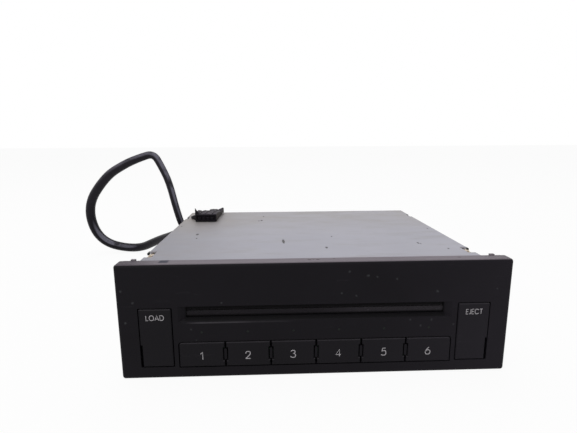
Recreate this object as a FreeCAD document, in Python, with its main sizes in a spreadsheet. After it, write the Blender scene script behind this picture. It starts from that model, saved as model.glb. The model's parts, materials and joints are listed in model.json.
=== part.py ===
"""Single-height dashboard disc player with a six-disc changer inside.

The document is drawn in millimetres.  +Z is up, the fascia faces -Y and X is
centred.  Depths are measured back from the fascia's front face; every piece is
then moved forward by MIDDLE, so that the origin is under the middle of the
unit at the height of the fascia's lower edge.
"""
import FreeCAD
import Part
import Sketcher
import math
import os

# Cubic millimetres that a feature must change, and how near a point must be to count as on a face.
LEAST_CHANGE = 1e-6
NEAR = 0.01
# Share of an edge's direction that must lie along an axis to count as parallel to it.
PARALLEL = 0.9

SIZES = {
    # Fascia moulding.
    "fascia_width": 190.4,
    "fascia_height": 58.3,
    "fascia_depth": 10.0,
    "fascia_wall": 2.5,
    "fascia_skirt": 1.8,
    "fascia_round": 1.5,
    "skirt_depth": 6.8,
    "skirt_step": 0.9,
    "hook_across": 87.9,
    "hook_width": 2.2,
    "hook_long": 1.6,
    "hook_rise": 0.5,
    "boss_radius": 2.6,
    "boss_hole": 0.9,
    "boss_floor": 1.0,
    "boss_inset": 12.2,
    "boss_top": 51.8,
    # Load and eject buttons.
    "side_button_inset": 17.9,
    "side_button_width": 15.3,
    "side_button_low": 6.7,
    "side_button_height": 29.5,
    "side_button_travel": 0.8,
    "side_button_round": 0.5,
    "side_step": 0.8,
    "side_step_top": 17.9,
    # Numbered keys.
    "key_row_gap": 3.05,
    "key_low": 6.2,
    "key_height": 12.5,
    "key_travel": 0.6,
    "key_corner": 1.8,
    "key_seam": 0.8,
    "flange_inset": 1.2,
    "rib_width": 1.3,
    "rib_height": 5.8,
    "rib_recess": 4.2,
    # What all the buttons share.
    "button_proud": 0.4,
    "button_plate": 2.4,
    "button_neck": 1.0,
    "button_flange": 0.8,
    "button_lip": 0.7,
    "button_gap": 0.5,
    "button_round": 0.35,
    "stem_width": 5.0,
    "stem_height": 4.0,
    "stem_length": 1.6,
    # Light guides over the keys.
    "light_level": 24.0,
    "light_radius": 0.55,
    "light_bar": 1.6,
    "guide_gap": 0.05,
    # Disc slot and its curtain.
    "slot_width": 126.0,
    "slot_low": 31.1,
    "slot_height": 6.2,
    "funnel_width": 133.0,
    "funnel_drop": 1.8,
    "funnel_depth": 2.2,
    "tunnel_wall": 2.0,
    "tunnel_depth": 3.0,
    "curtain_thickness": 0.7,
    "curtain_slit": 0.5,
    "curtain_overlap": 1.4,
    # Front circuit board and its switches.
    "board_thickness": 1.2,
    "board_back_gap": 0.4,
    "board_slot_gap": 1.0,
    "switch_size": 6.0,
    "switch_body": 1.6,
    "plunger_radius": 1.5,
    "switch_gap": 0.1,
    # Sheet-metal case.
    "case_width": 178.0,
    "case_height": 50.0,
    "case_low": 4.8,
    "case_back": 155.0,
    "sheet": 0.8,
    "frame_sheet": 1.0,
    "frame_ear": 3.5,
    "frame_window": 10.0,
    "frame_window_across": 50.0,
    "frame_window_round": 2.0,
    "ear_drop": 1.5,
    "lip_drop": 12.0,
    "notch_wide": 4.4,
    "notch_front": 24.5,
    "notch_long": 11.0,
    "rear_notch_wide": 2.3,
    "rear_notch_front": 127.5,
    "rear_notch_long": 9.0,
    "mount_hole": 2.1,
    "mount_first": 40.0,
    "mount_spacing": 80.0,
    "mount_level": 23.3,
    "mount_collar": 1.4,
    "mount_collar_wall": 1.0,
    "vent_count": 6,
    "vent_long": 18.0,
    "vent_wide": 2.4,
    "vent_pitch": 7.0,
    "slot_end_flat": 0.1,
    "screw_head": 2.4,
    "screw_shank": 1.2,
    "screw_head_height": 1.1,
    "screw_level": 46.3,
    "ear_long": 14.0,
    "lip_gap": 0.1,
    "notch_drop": 3.0,
    "notch_bracket": 4.0,
    "bracket_drop": 0.4,
    "stud_radius": 1.5,
    "stud_height": 0.8,
    "cover_round": 0.72,
    "side_screw_first": 60.0,
    "side_screw_last": 118.0,
    "rear_screw_across": 40.0,
    "rear_screw_level": 47.3,
    # Main circuit board.
    "main_board_width": 140.0,
    "main_board_front": 38.0,
    "main_board_back": 148.0,
    "standoff_inset": 4.0,
    "standoff_height": 2.4,
    "standoff_radius": 2.4,
    # Floating deck.
    "deck_low": 15.3,
    "deck_sheet": 1.0,
    "deck_width": 168.0,
    "deck_front": 12.4,
    "deck_back": 151.5,
    "deck_wall_height": 33.0,
    "deck_wall_inner": 85.9,
    "deck_wall": 0.8,
    "damper_radius": 4.0,
    "damper_neck": 1.6,
    "damper_across": 77.0,
    "damper_first": 44.0,
    "damper_spacing": 92.0,
    "spring_radius": 5.4,
    "spring_wall": 0.6,
    # Disc and the trays that hold it.
    "disc_radius": 60.0,
    "disc_thickness": 1.2,
    "disc_depth": 90.0,
    "disc_level": 34.8,
    "tray_pitch": 2.6,
    "tray_sheet": 0.9,
    "tray_rim": 0.8,
    "tray_rim_width": 0.9,
    "tray_inner": 38.0,
    "tray_reach": 84.1,
    "tray_sweep": 117.5,
    "ear_width": 6.0,
    "ear_inner": 50.0,
    "pin_root": 1.0,
    "pin_radius": 0.6,
    "pin_reach": 86.5,
    "front_pin": 52.0,
    "rear_pin": 122.0,
    "left_pin": 136.5,
    # Elevator.
    "cam_inner": 84.5,
    "cam_sheet": 1.0,
    "cam_travel": 12.0,
    "cam_low": 16.6,
    "cam_high": 47.8,
    "cam_front": 25.5,
    "cam_end": 3.0,
    "cam_slot_gap": 0.15,
    "lower_drop": 8.0,
    "upper_rise": 6.0,
    "play_drop": 1.0,
    "shaft_depth": 31.0,
    "shaft_level": 12.7,
    "shaft_radius": 1.5,
    "pinion_radius": 4.8,
    "pinion_teeth": 12,
    "worm_across": 73.0,
    "worm_radius": 2.2,
    "worm_gear_radius": 5.2,
    "worm_gear_teeth": 24,
    "worm_gear_width": 3.0,
    "worm_length": 7.0,
    "worm_neck": 1.4,
    "small_motor_radius": 3.7,
    "small_motor_length": 20.0,
    # Loading roller.
    "roller_depth": 20.0,
    "roller_level": 31.5,
    "roller_radius": 2.9,
    "roller_waist": 2.3,
    "roller_shaft": 1.0,
    "shaft_end": 0.5,
    "roller_gap": 8.0,
    "roller_half": 60.0,
    "bracket_left": 61.6,
    "bracket_right": 64.6,
    "bracket_sheet": 0.9,
    "bracket_depth": 28.0,
    "bracket_level": 21.3,
    "bracket_boss": 2.6,
    "bracket_ear": 1.0,
    "idler_depth": 25.0,
    "idler_level": 39.3,
    "idler_teeth": 20,
    "feed_gear_inner": 66.6,
    "feed_gear_width": 2.6,
    "feed_pinion_teeth": 10,
    "pinion_bore": 0.7,
    "feed_motor_radius": 5.4,
    "feed_motor_length": 12.5,
    "motor_nose": 1.8,
    "motor_nose_length": 0.8,
    "motor_saddle": 3.0,
    "running_gap": 0.06,
    "clearance": 0.3,
    "guide_level": 38.2,
    "guide_sheet": 1.0,
    "guide_back": 27.0,
    "guide_leg": 3.0,
    "guide_rail_outer": 58.0,
    "guide_rail_height": 0.7,
    # Swinging traverse with the spindle, the pickup and the clamp.
    "pivot_across": 73.0,
    "pivot_depth": 21.0,
    "pivot_radius": 2.5,
    "pivot_boss": 4.4,
    "arm_low": 26.1,
    "arm_sheet": 1.0,
    "arm_half": 10.8,
    "arm_neck": 3.6,
    "arm_shoulder": 29.0,
    "arm_slope": 8.0,
    "arm_flange": 5.4,
    "arm_window_half": 5.0,
    "arm_window_gap": 4.0,
    "arm_window_round": 1.5,
    "carrier_wall": 0.8,
    "hub_drop": 4.0,
    "post_half": 2.2,
    "spindle_motor_radius": 9.5,
    "spindle_motor_height": 5.4,
    "turntable_radius": 10.4,
    "turntable_height": 2.0,
    "hub_radius": 7.3,
    "hub_height": 1.7,
    "hub_taper": 1.2,
    "spindle_radius": 1.0,
    "rod_radius": 1.0,
    "rod_spread": 7.4,
    "rod_level": 29.8,
    "rod_stop": 10.45,
    "rod_length": 59.0,
    "rod_carrier": 2.0,
    "sled_inner": 25.0,
    "sled_length": 14.0,
    "sled_half": 9.0,
    "sled_low": 27.4,
    "sled_height": 4.8,
    "lens_radius": 2.0,
    "lens_height": 0.7,
    "lens_across": 2.0,
    "lens_seat": 1.2,
    "lens_gap": 0.6,
    "screw_radius": 1.1,
    "screw_offset": 2.8,
    "sled_motor_radius": 2.6,
    "sled_motor_length": 13.0,
    "clamp_hinge": 44.0,
    "clamp_level": 40.3,
    "clamp_sheet": 1.0,
    "clamp_half": 6.0,
    "clamp_radius": 10.5,
    "clamp_height": 1.5,
    "clamp_open": 1.8,
    "clamp_barrel": 1.7,
    "clamp_hole": 2.3,
    "puck_gap": 0.8,
    "puck_hollow": 0.9,
    "cap_radius": 3.6,
    "cap_height": 0.7,
    # Rear socket, plug and harness lead.
    "socket_across": 66.0,
    "socket_width": 22.0,
    "socket_low": 15.3,
    "socket_height": 12.0,
    "socket_depth": 9.0,
    "socket_proud": 2.0,
    "socket_wall": 1.2,
    "socket_pin_pitch": 2.5,
    "socket_pin": 0.8,
    "socket_pin_count": 6,
    "socket_room": 1.5,
    "plug_length": 13.0,
    "plug_gap": 0.3,
    "plug_seat": 5.0,
    "lead_radius": 3.5,
    "gland_length": 4.0,
    "gland_wall": 1.2,
    "connector_across": 70.9,
    "connector_width": 15.8,
    "connector_front": 115.5,
    "connector_length": 36.0,
    "connector_height": 5.7,
    "connector_rear": 2.2,
    "connector_flat": 8.0,
    "connector_round": 0.8,
    "connector_entry": 10.0,
    "entry_wall": 0.6,
    "connector_lift": 0.2,
    "connector_tab": 6.6,
    "tab_thickness": 1.5,
    "connector_prong": 3.2,
    "prong_thickness": 1.0,
    "prong_foot": 4.0,
    "connector_way": 1.4,
    "connector_way_count": 4,
    "wires_radius": 1.5,
}


class Size:
    """A length that knows its number and the sheet expression behind it."""

    def __init__(self, number, text=None):
        self.number = float(number)
        self.text = text or repr(self.number)

    def joined(self, other, sign, number):
        return Size(number, "(%s %s %s)" % (self.text, sign, size(other).text))

    def __add__(self, other):
        return self.joined(other, "+", self.number + size(other).number)

    def __radd__(self, other):
        return size(other) + self

    def __sub__(self, other):
        return self.joined(other, "-", self.number - size(other).number)

    def __rsub__(self, other):
        return size(other) - self

    def __mul__(self, other):
        return self.joined(other, "*", self.number * size(other).number)

    def __rmul__(self, other):
        return size(other) * self

    def __truediv__(self, other):
        return self.joined(other, "/", self.number / size(other).number)

    def __neg__(self):
        return Size(-self.number, "(0 - %s)" % self.text)

    def root(self):
        return Size(math.sqrt(self.number), "sqrt(%s)" % self.text)


def size(given):
    """A plain number as a Size; a Size stays as it is."""
    return given if isinstance(given, Size) else Size(given)


doc = FreeCAD.newDocument("DiscChanger")
sheet = doc.addObject("Spreadsheet::Sheet", "Sizes")
for row, (alias, number) in enumerate(SIZES.items(), start=1):
    sheet.set("A%d" % row, alias)
    sheet.set("B%d" % row, str(number))
    sheet.setAlias("B%d" % row, alias)
doc.recompute()


class Sheet:
    """Every driving size by its name."""

    def __getattr__(self, alias):
        return Size(SIZES[alias], "Sizes." + alias)


s = Sheet()
X, Y, Z = (1, 0, 0), (0, 1, 0), (0, 0, 1)
TURN = {
    "x": FreeCAD.Rotation(FreeCAD.Vector(0, 1, 0), 90),
    "y": FreeCAD.Rotation(FreeCAD.Vector(1, 0, 0), -90),
    "z": FreeCAD.Rotation(),
}
HALVES = (-1, 1)
finished = []

# Depth of the unit's middle behind the fascia's front face.
REAR = s.case_back + s.socket_proud
MIDDLE = (REAR - s.button_proud) / 2


def bind(thing, prop, value):
    """Tie one property of an object to the sheet."""
    thing.setExpression(prop, size(value).text)


def put(thing, x, y, z, turn=None):
    """Place an object at a bound position."""
    base = FreeCAD.Vector(size(x).number, size(y).number, size(z).number)
    thing.Placement = FreeCAD.Placement(base, turn or FreeCAD.Rotation())
    bind(thing, "Placement.Base.x", x)
    bind(thing, "Placement.Base.y", y)
    bind(thing, "Placement.Base.z", z)


def block(x, y, z):
    """A box between two places on each axis."""
    thing = doc.addObject("Part::Box", "Block")
    for prop, (low, high) in zip(("Length", "Width", "Height"), (x, y, z)):
        span = size(high) - low
        setattr(thing, prop, span.number)
        bind(thing, prop, span)
    put(thing, x[0], y[0], z[0])
    return thing


def rod(axis, x, y, z, radius, length):
    """A cylinder that starts at a place and runs along +axis."""
    thing = doc.addObject("Part::Cylinder", "Rod")
    thing.Radius = size(radius).number
    thing.Height = size(length).number
    bind(thing, "Radius", radius)
    bind(thing, "Height", length)
    put(thing, x, y, z, TURN[axis])
    return thing


def cone(axis, x, y, z, start, end, length):
    """A cone frustum that starts at a place and runs along +axis."""
    thing = doc.addObject("Part::Cone", "Cone")
    thing.Radius1 = size(start).number
    thing.Radius2 = size(end).number
    thing.Height = size(length).number
    bind(thing, "Radius1", start)
    bind(thing, "Radius2", end)
    bind(thing, "Height", length)
    put(thing, x, y, z, TURN[axis])
    return thing


def fuse(*things):
    """One solid from touching things."""
    joined = doc.addObject("Part::MultiFuse", "Fusion")
    joined.Shapes = list(things)
    joined.Refine = True
    return joined


def group(*things):
    """Separate solids in one piece of the list."""
    held = doc.addObject("Part::Compound", "Group")
    held.Links = list(things)
    return held


def cut(base, *tools):
    """A thing less the tools, which must take something away."""
    carved = doc.addObject("Part::Cut", "Cut")
    carved.Base = base
    carved.Tool = tools[0] if len(tools) == 1 else fuse(*tools)
    doc.recompute()
    if carved.Shape.Volume > base.Shape.Volume - LEAST_CHANGE:
        raise RuntimeError("a cut took nothing from " + base.Label)
    return carved


def finish(thing, label):
    """Name a piece and move it from the fascia's face to the unit's frame."""
    thing.Label = label
    if thing.TypeId in ("Part::Box", "Part::Cylinder", "Part::Cone"):
        old = dict(thing.ExpressionEngine)[".Placement.Base.y"]
        bind(thing, "Placement.Base.y", Size(thing.Placement.Base.y, old) - MIDDLE)
    else:
        bind(thing, "Placement.Base.y", -MIDDLE)
    finished.append(thing)
    return thing


class Body:
    """A PartDesign body whose features all grow along +X, +Y or +Z."""

    ROLES = {"x": "YZ_Plane", "y": "XZ_Plane", "z": "XY_Plane"}

    def __init__(self, label):
        self.body = doc.addObject("PartDesign::Body", "Body")
        self.body.Label = label

    def sketch(self, axis, start):
        """A sketch square to an axis, at a distance along it."""
        drawing = self.body.newObject("Sketcher::SketchObject", "Sketch")
        plane = [o for o in self.body.Origin.OriginFeatures if o.Role == self.ROLES[axis]][0]
        drawing.AttachmentSupport = [(plane, "")]
        drawing.MapMode = "FlatFace"
        offset = -size(start) if axis == "y" else size(start)
        drawing.AttachmentOffset = FreeCAD.Placement(
            FreeCAD.Vector(0, 0, offset.number), FreeCAD.Rotation())
        bind(drawing, "AttachmentOffset.Base.z", offset)
        return drawing

    def grow(self, kind, axis, start, length, outlines):
        drawing = self.sketch(axis, start)
        for outline in outlines:
            draw(drawing, outline)
        before = self.body.Shape.Volume if self.body.Tip else 0.0
        feature = self.body.newObject("PartDesign::" + kind, kind)
        feature.Profile = drawing
        feature.Length = size(length).number
        bind(feature, "Length", length)
        feature.Reversed = (axis == "y") == (kind == "Pad")
        doc.recompute()
        change = self.body.Shape.Volume - before
        if (change > LEAST_CHANGE) != (kind == "Pad"):
            raise RuntimeError("%s of %s changes nothing" % (kind, self.body.Label))
        return feature

    def pad(self, axis, start, length, *outlines):
        return self.grow("Pad", axis, start, length, outlines)

    def pocket(self, axis, start, length, *outlines):
        return self.grow("Pocket", axis, start, length, outlines)

    def taper(self, axis, start, first, end, last):
        """Take away a loft between two outlines."""
        drawings = [self.sketch(axis, start), self.sketch(axis, end)]
        draw(drawings[0], first)
        draw(drawings[1], last)
        before = self.body.Shape.Volume
        feature = self.body.newObject("PartDesign::SubtractiveLoft", "Taper")
        feature.Profile = drawings[0]
        feature.Sections = [drawings[1]]
        feature.Ruled = True
        doc.recompute()
        if self.body.Shape.Volume > before - LEAST_CHANGE:
            raise RuntimeError("a taper takes nothing from " + self.body.Label)

    def soften(self, kind, amount, wanted):
        """Round or bevel the edges whose middle and direction are wanted."""
        doc.recompute()
        names = []
        for number, edge in enumerate(self.body.Shape.Edges, start=1):
            if len(edge.Vertexes) < 2:
                continue
            middle = edge.valueAt((edge.FirstParameter + edge.LastParameter) / 2)
            along = (edge.Vertexes[-1].Point - edge.Vertexes[0].Point).normalize()
            if wanted(middle, along):
                names.append("Edge%d" % number)
        tip = self.body.Tip
        feature = self.body.newObject("PartDesign::" + kind, kind)
        feature.Base = (tip, names)
        prop = "Radius" if kind == "Fillet" else "Size"
        setattr(feature, prop, size(amount).number)
        bind(feature, prop, amount)
        doc.recompute()


def draw(drawing, outline):
    """Close an outline of (x, y) corners, or a circle (x, y, radius).

    A third number in a corner rounds it; such a corner is square to the axes.
    """
    def pin(geometry, vertex, x, y):
        for kind, value in (("DistanceX", x), ("DistanceY", y)):
            value = size(value)
            mark = drawing.addConstraint(
                Sketcher.Constraint(kind, -1, 1, geometry, vertex, value.number))
            drawing.setExpression("Constraints[%d]" % mark, value.text)

    if not isinstance(outline, list):
        x, y, radius = outline
        spot = FreeCAD.Vector(size(x).number, size(y).number, 0)
        ring = drawing.addGeometry(Part.Circle(spot, FreeCAD.Vector(0, 0, 1), size(radius).number))
        pin(ring, 3, x, y)
        mark = drawing.addConstraint(Sketcher.Constraint("Radius", ring, size(radius).number))
        drawing.setExpression("Constraints[%d]" % mark, size(radius).text)
        return
    stops = []
    for here, corner in enumerate(outline):
        x, y = size(corner[0]), size(corner[1])
        if len(corner) == 2:
            stops.append((x, y, None))
            continue
        ends = []
        for other in (outline[here - 1], outline[(here + 1) % len(outline)]):
            dx = size(other[0]).number - x.number
            dy = size(other[1]).number - y.number
            if abs(dx) > abs(dy):
                ends.append((x + math.copysign(1, dx) * size(corner[2]), y))
            else:
                ends.append((x, y + math.copysign(1, dy) * size(corner[2])))
        stops.append(ends[0] + (size(corner[2]),))
        stops.append(ends[1] + (None,))
    made = []
    for here, (x, y, radius) in enumerate(stops):
        onward = stops[(here + 1) % len(stops)]
        start = FreeCAD.Vector(x.number, y.number, 0)
        end = FreeCAD.Vector(onward[0].number, onward[1].number, 0)
        if radius is None:
            made.append((drawing.addGeometry(Part.LineSegment(start, end)), True))
        else:
            made.append(arc_corner(drawing, start, end, radius, stops[here - 1]))
    for here, (geometry, forward) in enumerate(made):
        x, y, radius = stops[here]
        after, after_forward = made[(here + 1) % len(made)]
        drawing.addConstraint(Sketcher.Constraint(
            "Coincident", geometry, 2 if forward else 1, after, 1 if after_forward else 2))
        pin(geometry, 1 if forward else 2, x, y)
        if radius is not None:
            mark = drawing.addConstraint(Sketcher.Constraint("Radius", geometry, radius.number))
            drawing.setExpression("Constraints[%d]" % mark, radius.text)


def arc_corner(drawing, start, end, radius, before):
    """A quarter arc from start to end, met square by the line before it."""
    came = FreeCAD.Vector(start.x - before[0].number, start.y - before[1].number, 0)
    if abs(came.x) > abs(came.y):
        centre = FreeCAD.Vector(start.x, end.y, 0)
    else:
        centre = FreeCAD.Vector(end.x, start.y, 0)
    first = math.atan2(start.y - centre.y, start.x - centre.x)
    last = math.atan2(end.y - centre.y, end.x - centre.x)
    forward = (last - first) % (2 * math.pi) < math.pi
    circle = Part.Circle(centre, FreeCAD.Vector(0, 0, 1), radius.number)
    turns = (first, last) if forward else (last, first)
    return drawing.addGeometry(Part.ArcOfCircle(circle, *turns)), forward


def box_outline(x, y, rounding=None):
    """The four corners of a rectangle, rounded where a radius is given."""
    corners = [(x[0], y[0]), (x[1], y[0]), (x[1], y[1]), (x[0], y[1])]
    if rounding is None:
        return corners
    return [corner + (rounding,) for corner in corners]


# --- Fascia -------------------------------------------------------------------

SIDE_ACROSS = s.fascia_width / 2 - s.side_button_inset
BOSS_ACROSS = s.fascia_width / 2 - s.boss_inset
KEYS = range(6)
KEY_ROW = SIDE_ACROSS - s.side_button_width / 2 - s.key_row_gap
KEY_PITCH = KEY_ROW * 2 / len(KEYS)
KEY_MIDDLES = [KEY_PITCH * (key - (len(KEYS) - 1) / 2) for key in KEYS]
KEY_TOP = s.key_low + s.key_height
KEY_MIDDLE = s.key_low + s.key_height / 2
SLOT_TOP = s.slot_low + s.slot_height


def side_window(side, grown):
    """Outline of the load or eject button, grown by a margin."""
    middle = side * SIDE_ACROSS
    half = s.side_button_width / 2 + grown
    top = s.side_button_low + s.side_button_height
    return box_outline((middle - half, middle + half), (s.side_button_low - grown, top + grown),
                       s.side_button_round)


def fascia():
    """The front moulding: a shell with windows, slot funnel and screw bosses."""
    piece = Body("fascia")
    half = s.fascia_width / 2
    low = s.fascia_skirt
    high = s.fascia_height - s.fascia_skirt
    inside = half - s.fascia_skirt
    piece.pad("y", 0, s.fascia_depth, box_outline((-half, half), (0, s.fascia_height)))
    piece.pocket("y", s.fascia_wall, s.fascia_depth - s.fascia_wall,
                 box_outline((-inside, inside), (low, high)))
    tunnel = s.slot_width / 2 + s.tunnel_wall
    piece.pad("y", s.fascia_wall, s.tunnel_depth - s.fascia_wall,
              box_outline((-tunnel, tunnel), (s.slot_low - s.tunnel_wall, SLOT_TOP + s.tunnel_wall)))
    bosses = [(side * BOSS_ACROSS, s.boss_top, s.boss_radius) for side in HALVES]
    piece.pad("y", s.fascia_wall, BOARD_FRONT - s.fascia_wall, *bosses)
    bores = [(side * BOSS_ACROSS, s.boss_top, s.boss_hole) for side in HALVES]
    floor = s.fascia_wall + s.boss_floor
    piece.pocket("y", floor, BOARD_FRONT - floor, *bores)
    piece.soften("Fillet", s.fascia_round, lambda at, along: (
        abs(along.y) > PARALLEL and abs(at.x) > half.number - NEAR and at.y > NEAR
        or at.y < NEAR and (abs(abs(at.x) - half.number) < NEAR or abs(at.z) < NEAR
                            or abs(at.z - s.fascia_height.number) < NEAR)))
    step = s.skirt_step
    piece.pocket("y", s.skirt_depth, s.fascia_depth - s.skirt_depth,
                 box_outline((-half - step, half + step), (-step, s.fascia_height + step)),
                 box_outline((step - half, half - step), (step, s.fascia_height - step), step))
    for side in HALVES:
        middle = side * s.hook_across
        piece.pad("y", s.skirt_depth, s.hook_long, box_outline(
            (middle - s.hook_width / 2, middle + s.hook_width / 2),
            (high, s.fascia_height + s.hook_rise)))
    piece.pocket("y", 0, s.tunnel_depth, box_outline(
        (-s.slot_width / 2, s.slot_width / 2), (s.slot_low, SLOT_TOP)))
    piece.taper("y", 0, box_outline((-s.funnel_width / 2, s.funnel_width / 2),
                                    (s.slot_low - s.funnel_drop, SLOT_TOP)),
                s.funnel_depth, box_outline((-s.slot_width / 2, s.slot_width / 2),
                                            (s.slot_low, SLOT_TOP)))
    for side in HALVES:
        piece.pocket("y", 0, s.fascia_wall, side_window(side, s.button_gap))
    window = KEY_ROW + s.button_gap
    piece.pocket("y", 0, s.fascia_wall, [
        (-window, s.key_low - s.button_gap), (window, s.key_low - s.button_gap),
        (window, KEY_TOP + s.button_gap, s.key_corner),
        (-window, KEY_TOP + s.button_gap, s.key_corner)])
    for key in KEYS[1:]:
        middle = KEY_MIDDLES[key] - KEY_PITCH / 2
        piece.pad("y", s.rib_recess, s.rib_width, box_outline(
            (middle - s.rib_width / 2, middle + s.rib_width / 2),
            (low, s.slot_low - s.tunnel_wall)))
        piece.pad("y", s.fascia_wall, s.rib_recess - s.fascia_wall, box_outline(
            (middle - s.rib_width / 2, middle + s.rib_width / 2),
            (s.light_level + s.light_bar, s.slot_low - s.tunnel_wall)))
        piece.pad("y", 0, s.rib_recess, box_outline(
            (middle - s.rib_width / 2, middle + s.rib_width / 2),
            (KEY_MIDDLE - s.rib_height / 2, KEY_MIDDLE + s.rib_height / 2),
            (s.rib_width - s.slot_end_flat) / 2))
    holes = [(KEY_MIDDLES[key], s.light_level, s.light_radius + s.guide_gap) for key in KEYS]
    piece.pocket("y", 0, s.fascia_wall, *holes)
    finish(piece.body, "fascia")


def side_button(label, side):
    """The tall load or eject button: a plate in its window, a flange behind it and a stem."""
    piece = Body(label)
    middle = side * SIDE_ACROSS
    half = s.side_button_width / 2
    x = (middle - half, middle + half)
    z = (s.side_button_low, s.side_button_low + s.side_button_height)
    plate = s.button_proud + s.button_plate
    back = s.fascia_wall + s.guide_gap
    piece.pad("y", -s.button_proud, plate, box_outline(x, z, s.side_button_round))
    step = (x[0], x[0] + s.side_step) if side < 0 else (x[1] - s.side_step, x[1])
    piece.pocket("y", -s.button_proud, plate, box_outline(step, (z[0], s.side_step_top)))
    neck = s.button_neck
    piece.pad("y", s.button_plate, back - s.button_plate,
              box_outline((x[0] + neck, x[1] - neck), (z[0] + neck, z[1] - neck)))
    lip = s.button_lip
    piece.pad("y", back, s.button_flange, box_outline((x[0] - lip, x[1] + lip), (z[0] - lip, z[1] + lip)))
    level = (z[0] + z[1]) / 2
    piece.pad("y", back + s.button_flange, s.stem_length, box_outline(
        (middle - s.stem_width / 2, middle + s.stem_width / 2),
        (level - s.stem_height / 2, level + s.stem_height / 2)))
    piece.soften("Chamfer", s.button_round, front_rim)
    finish(piece.body, label)


def front_rim(at, along):
    """True for the edges round a button's front face."""
    return at.y < -s.button_proud.number + NEAR


def preset_key(number):
    """One numbered key, notched beside the ribs it shares with its neighbours."""
    middle = KEY_MIDDLES[number - 1]
    label = "preset_key_%d" % number
    first, last = number == 1, number == len(KEYS)
    edge = KEY_PITCH / 2 - s.key_seam / 2
    left = middle - (KEY_PITCH / 2 if first else edge)
    right = middle + (KEY_PITCH / 2 if last else edge)
    piece = Body(label)
    corners = [(left, s.key_low), (right, s.key_low), (right, KEY_TOP), (left, KEY_TOP)]
    if first:
        corners[3] += (s.key_corner - s.button_gap,)
    if last:
        corners[2] += (s.key_corner - s.button_gap,)
    piece.pad("y", -s.button_proud, s.button_proud + s.button_plate, corners)
    flange = (left + (0 if first else s.flange_inset) - (s.button_lip if first else 0),
              right - (0 if last else s.flange_inset) + (s.button_lip if last else 0))
    back = s.fascia_wall + s.guide_gap
    piece.pad("y", s.button_plate, back - s.button_plate, box_outline(
        (left + s.button_neck, right - s.button_neck),
        (s.key_low + s.button_neck, KEY_TOP - s.button_neck)))
    piece.pad("y", back, s.button_flange, box_outline(
        flange, (s.key_low - s.button_lip, KEY_TOP + s.button_lip)))
    piece.pad("y", back + s.button_flange, s.stem_length, box_outline(
        (middle - s.stem_width / 2, middle + s.stem_width / 2),
        (KEY_MIDDLE - s.stem_height / 2, KEY_MIDDLE + s.stem_height / 2)))
    notch = s.rib_width / 2 + s.button_gap
    tall = s.rib_height / 2 + s.button_gap
    for side, skipped in ((-1, first), (1, last)):
        if not skipped:
            bound = middle + side * KEY_PITCH / 2
            piece.pocket("y", -s.button_proud, s.button_proud + back + s.button_flange, box_outline(
                (bound - notch, bound + notch), (KEY_MIDDLE - tall, KEY_MIDDLE + tall)))
    piece.soften("Chamfer", s.button_round, front_rim)
    finish(piece.body, label)


def light_guides():
    """One clear moulding: six pipes joined by a bar behind the fascia wall."""
    level = (s.light_level - s.light_bar / 2, s.light_level + s.light_bar / 2)
    reach = KEY_MIDDLES[-1] + s.light_bar
    bar = block((-reach, reach), (s.fascia_wall, s.fascia_wall + s.light_bar), level)
    pipes = [rod("y", KEY_MIDDLES[key], 0, s.light_level, s.light_radius,
                 BOARD_FRONT - s.switch_gap) for key in KEYS]
    finish(fuse(bar, *pipes), "light_guides")


def slot_curtain():
    """Two felt strips behind the slot, meeting at a fine slit."""
    half = s.slot_width / 2 + s.curtain_overlap
    depth = (s.tunnel_depth, s.tunnel_depth + s.curtain_thickness)
    middle = s.slot_low + s.slot_height / 2
    lower = block((-half, half), depth, (s.slot_low - s.curtain_overlap, middle - s.curtain_slit / 2))
    upper = block((-half, half), depth, (middle + s.curtain_slit / 2, SLOT_TOP + s.curtain_overlap))
    finish(group(lower, upper), "slot_curtain")


SWITCHES = [(side * SIDE_ACROSS, s.side_button_low + s.side_button_height / 2,
             s.side_button_travel) for side in HALVES]
SWITCHES += [(KEY_MIDDLES[key], KEY_MIDDLE, s.key_travel) for key in KEYS]


def front_circuit_board():
    """The switch board: a U that leaves the disc slot free between its wings."""
    piece = Body("front_circuit_board")
    half = s.fascia_width / 2 - s.fascia_skirt - s.clearance
    wing = s.slot_width / 2 + s.tunnel_wall + s.board_slot_gap
    low = s.fascia_skirt + s.clearance
    high = s.boss_top + s.boss_radius
    floor = s.slot_low - s.tunnel_wall - s.board_slot_gap
    piece.pad("y", BOARD_FRONT, s.board_thickness, [
        (-half, low), (half, low), (half, high), (wing, high),
        (wing, floor), (-wing, floor), (-wing, high), (-half, high)])
    piece.pocket("y", BOARD_FRONT, s.board_thickness,
                 *[(side * BOSS_ACROSS, s.boss_top, s.screw_shank + s.guide_gap) for side in HALVES])
    finish(piece.body, "front_circuit_board")


def tact_switches():
    """One switch under each button, its plunger just short of the stem."""
    bodies = []
    for across, level, travel in SWITCHES:
        half = s.switch_size / 2
        stem_end = s.fascia_wall + s.guide_gap + s.button_flange + s.stem_length
        front = BOARD_FRONT - s.switch_body
        tip = stem_end + travel + s.switch_gap
        case = block((across - half, across + half), (front, BOARD_FRONT), (level - half, level + half))
        bodies.append(fuse(case, rod("y", across, tip, level, s.plunger_radius, front - tip)))
    finish(group(*bodies), "tact_switches")


# --- Case -----------------------------------------------------------------------

CASE_HALF = s.case_width / 2
CASE_TOP = s.case_low + s.case_height
WALL_IN = CASE_HALF - s.sheet
LID_UNDER = CASE_TOP - s.sheet
FRAME_BACK = s.fascia_depth + s.frame_sheet
PANEL_FRONT = s.case_back - s.sheet


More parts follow.
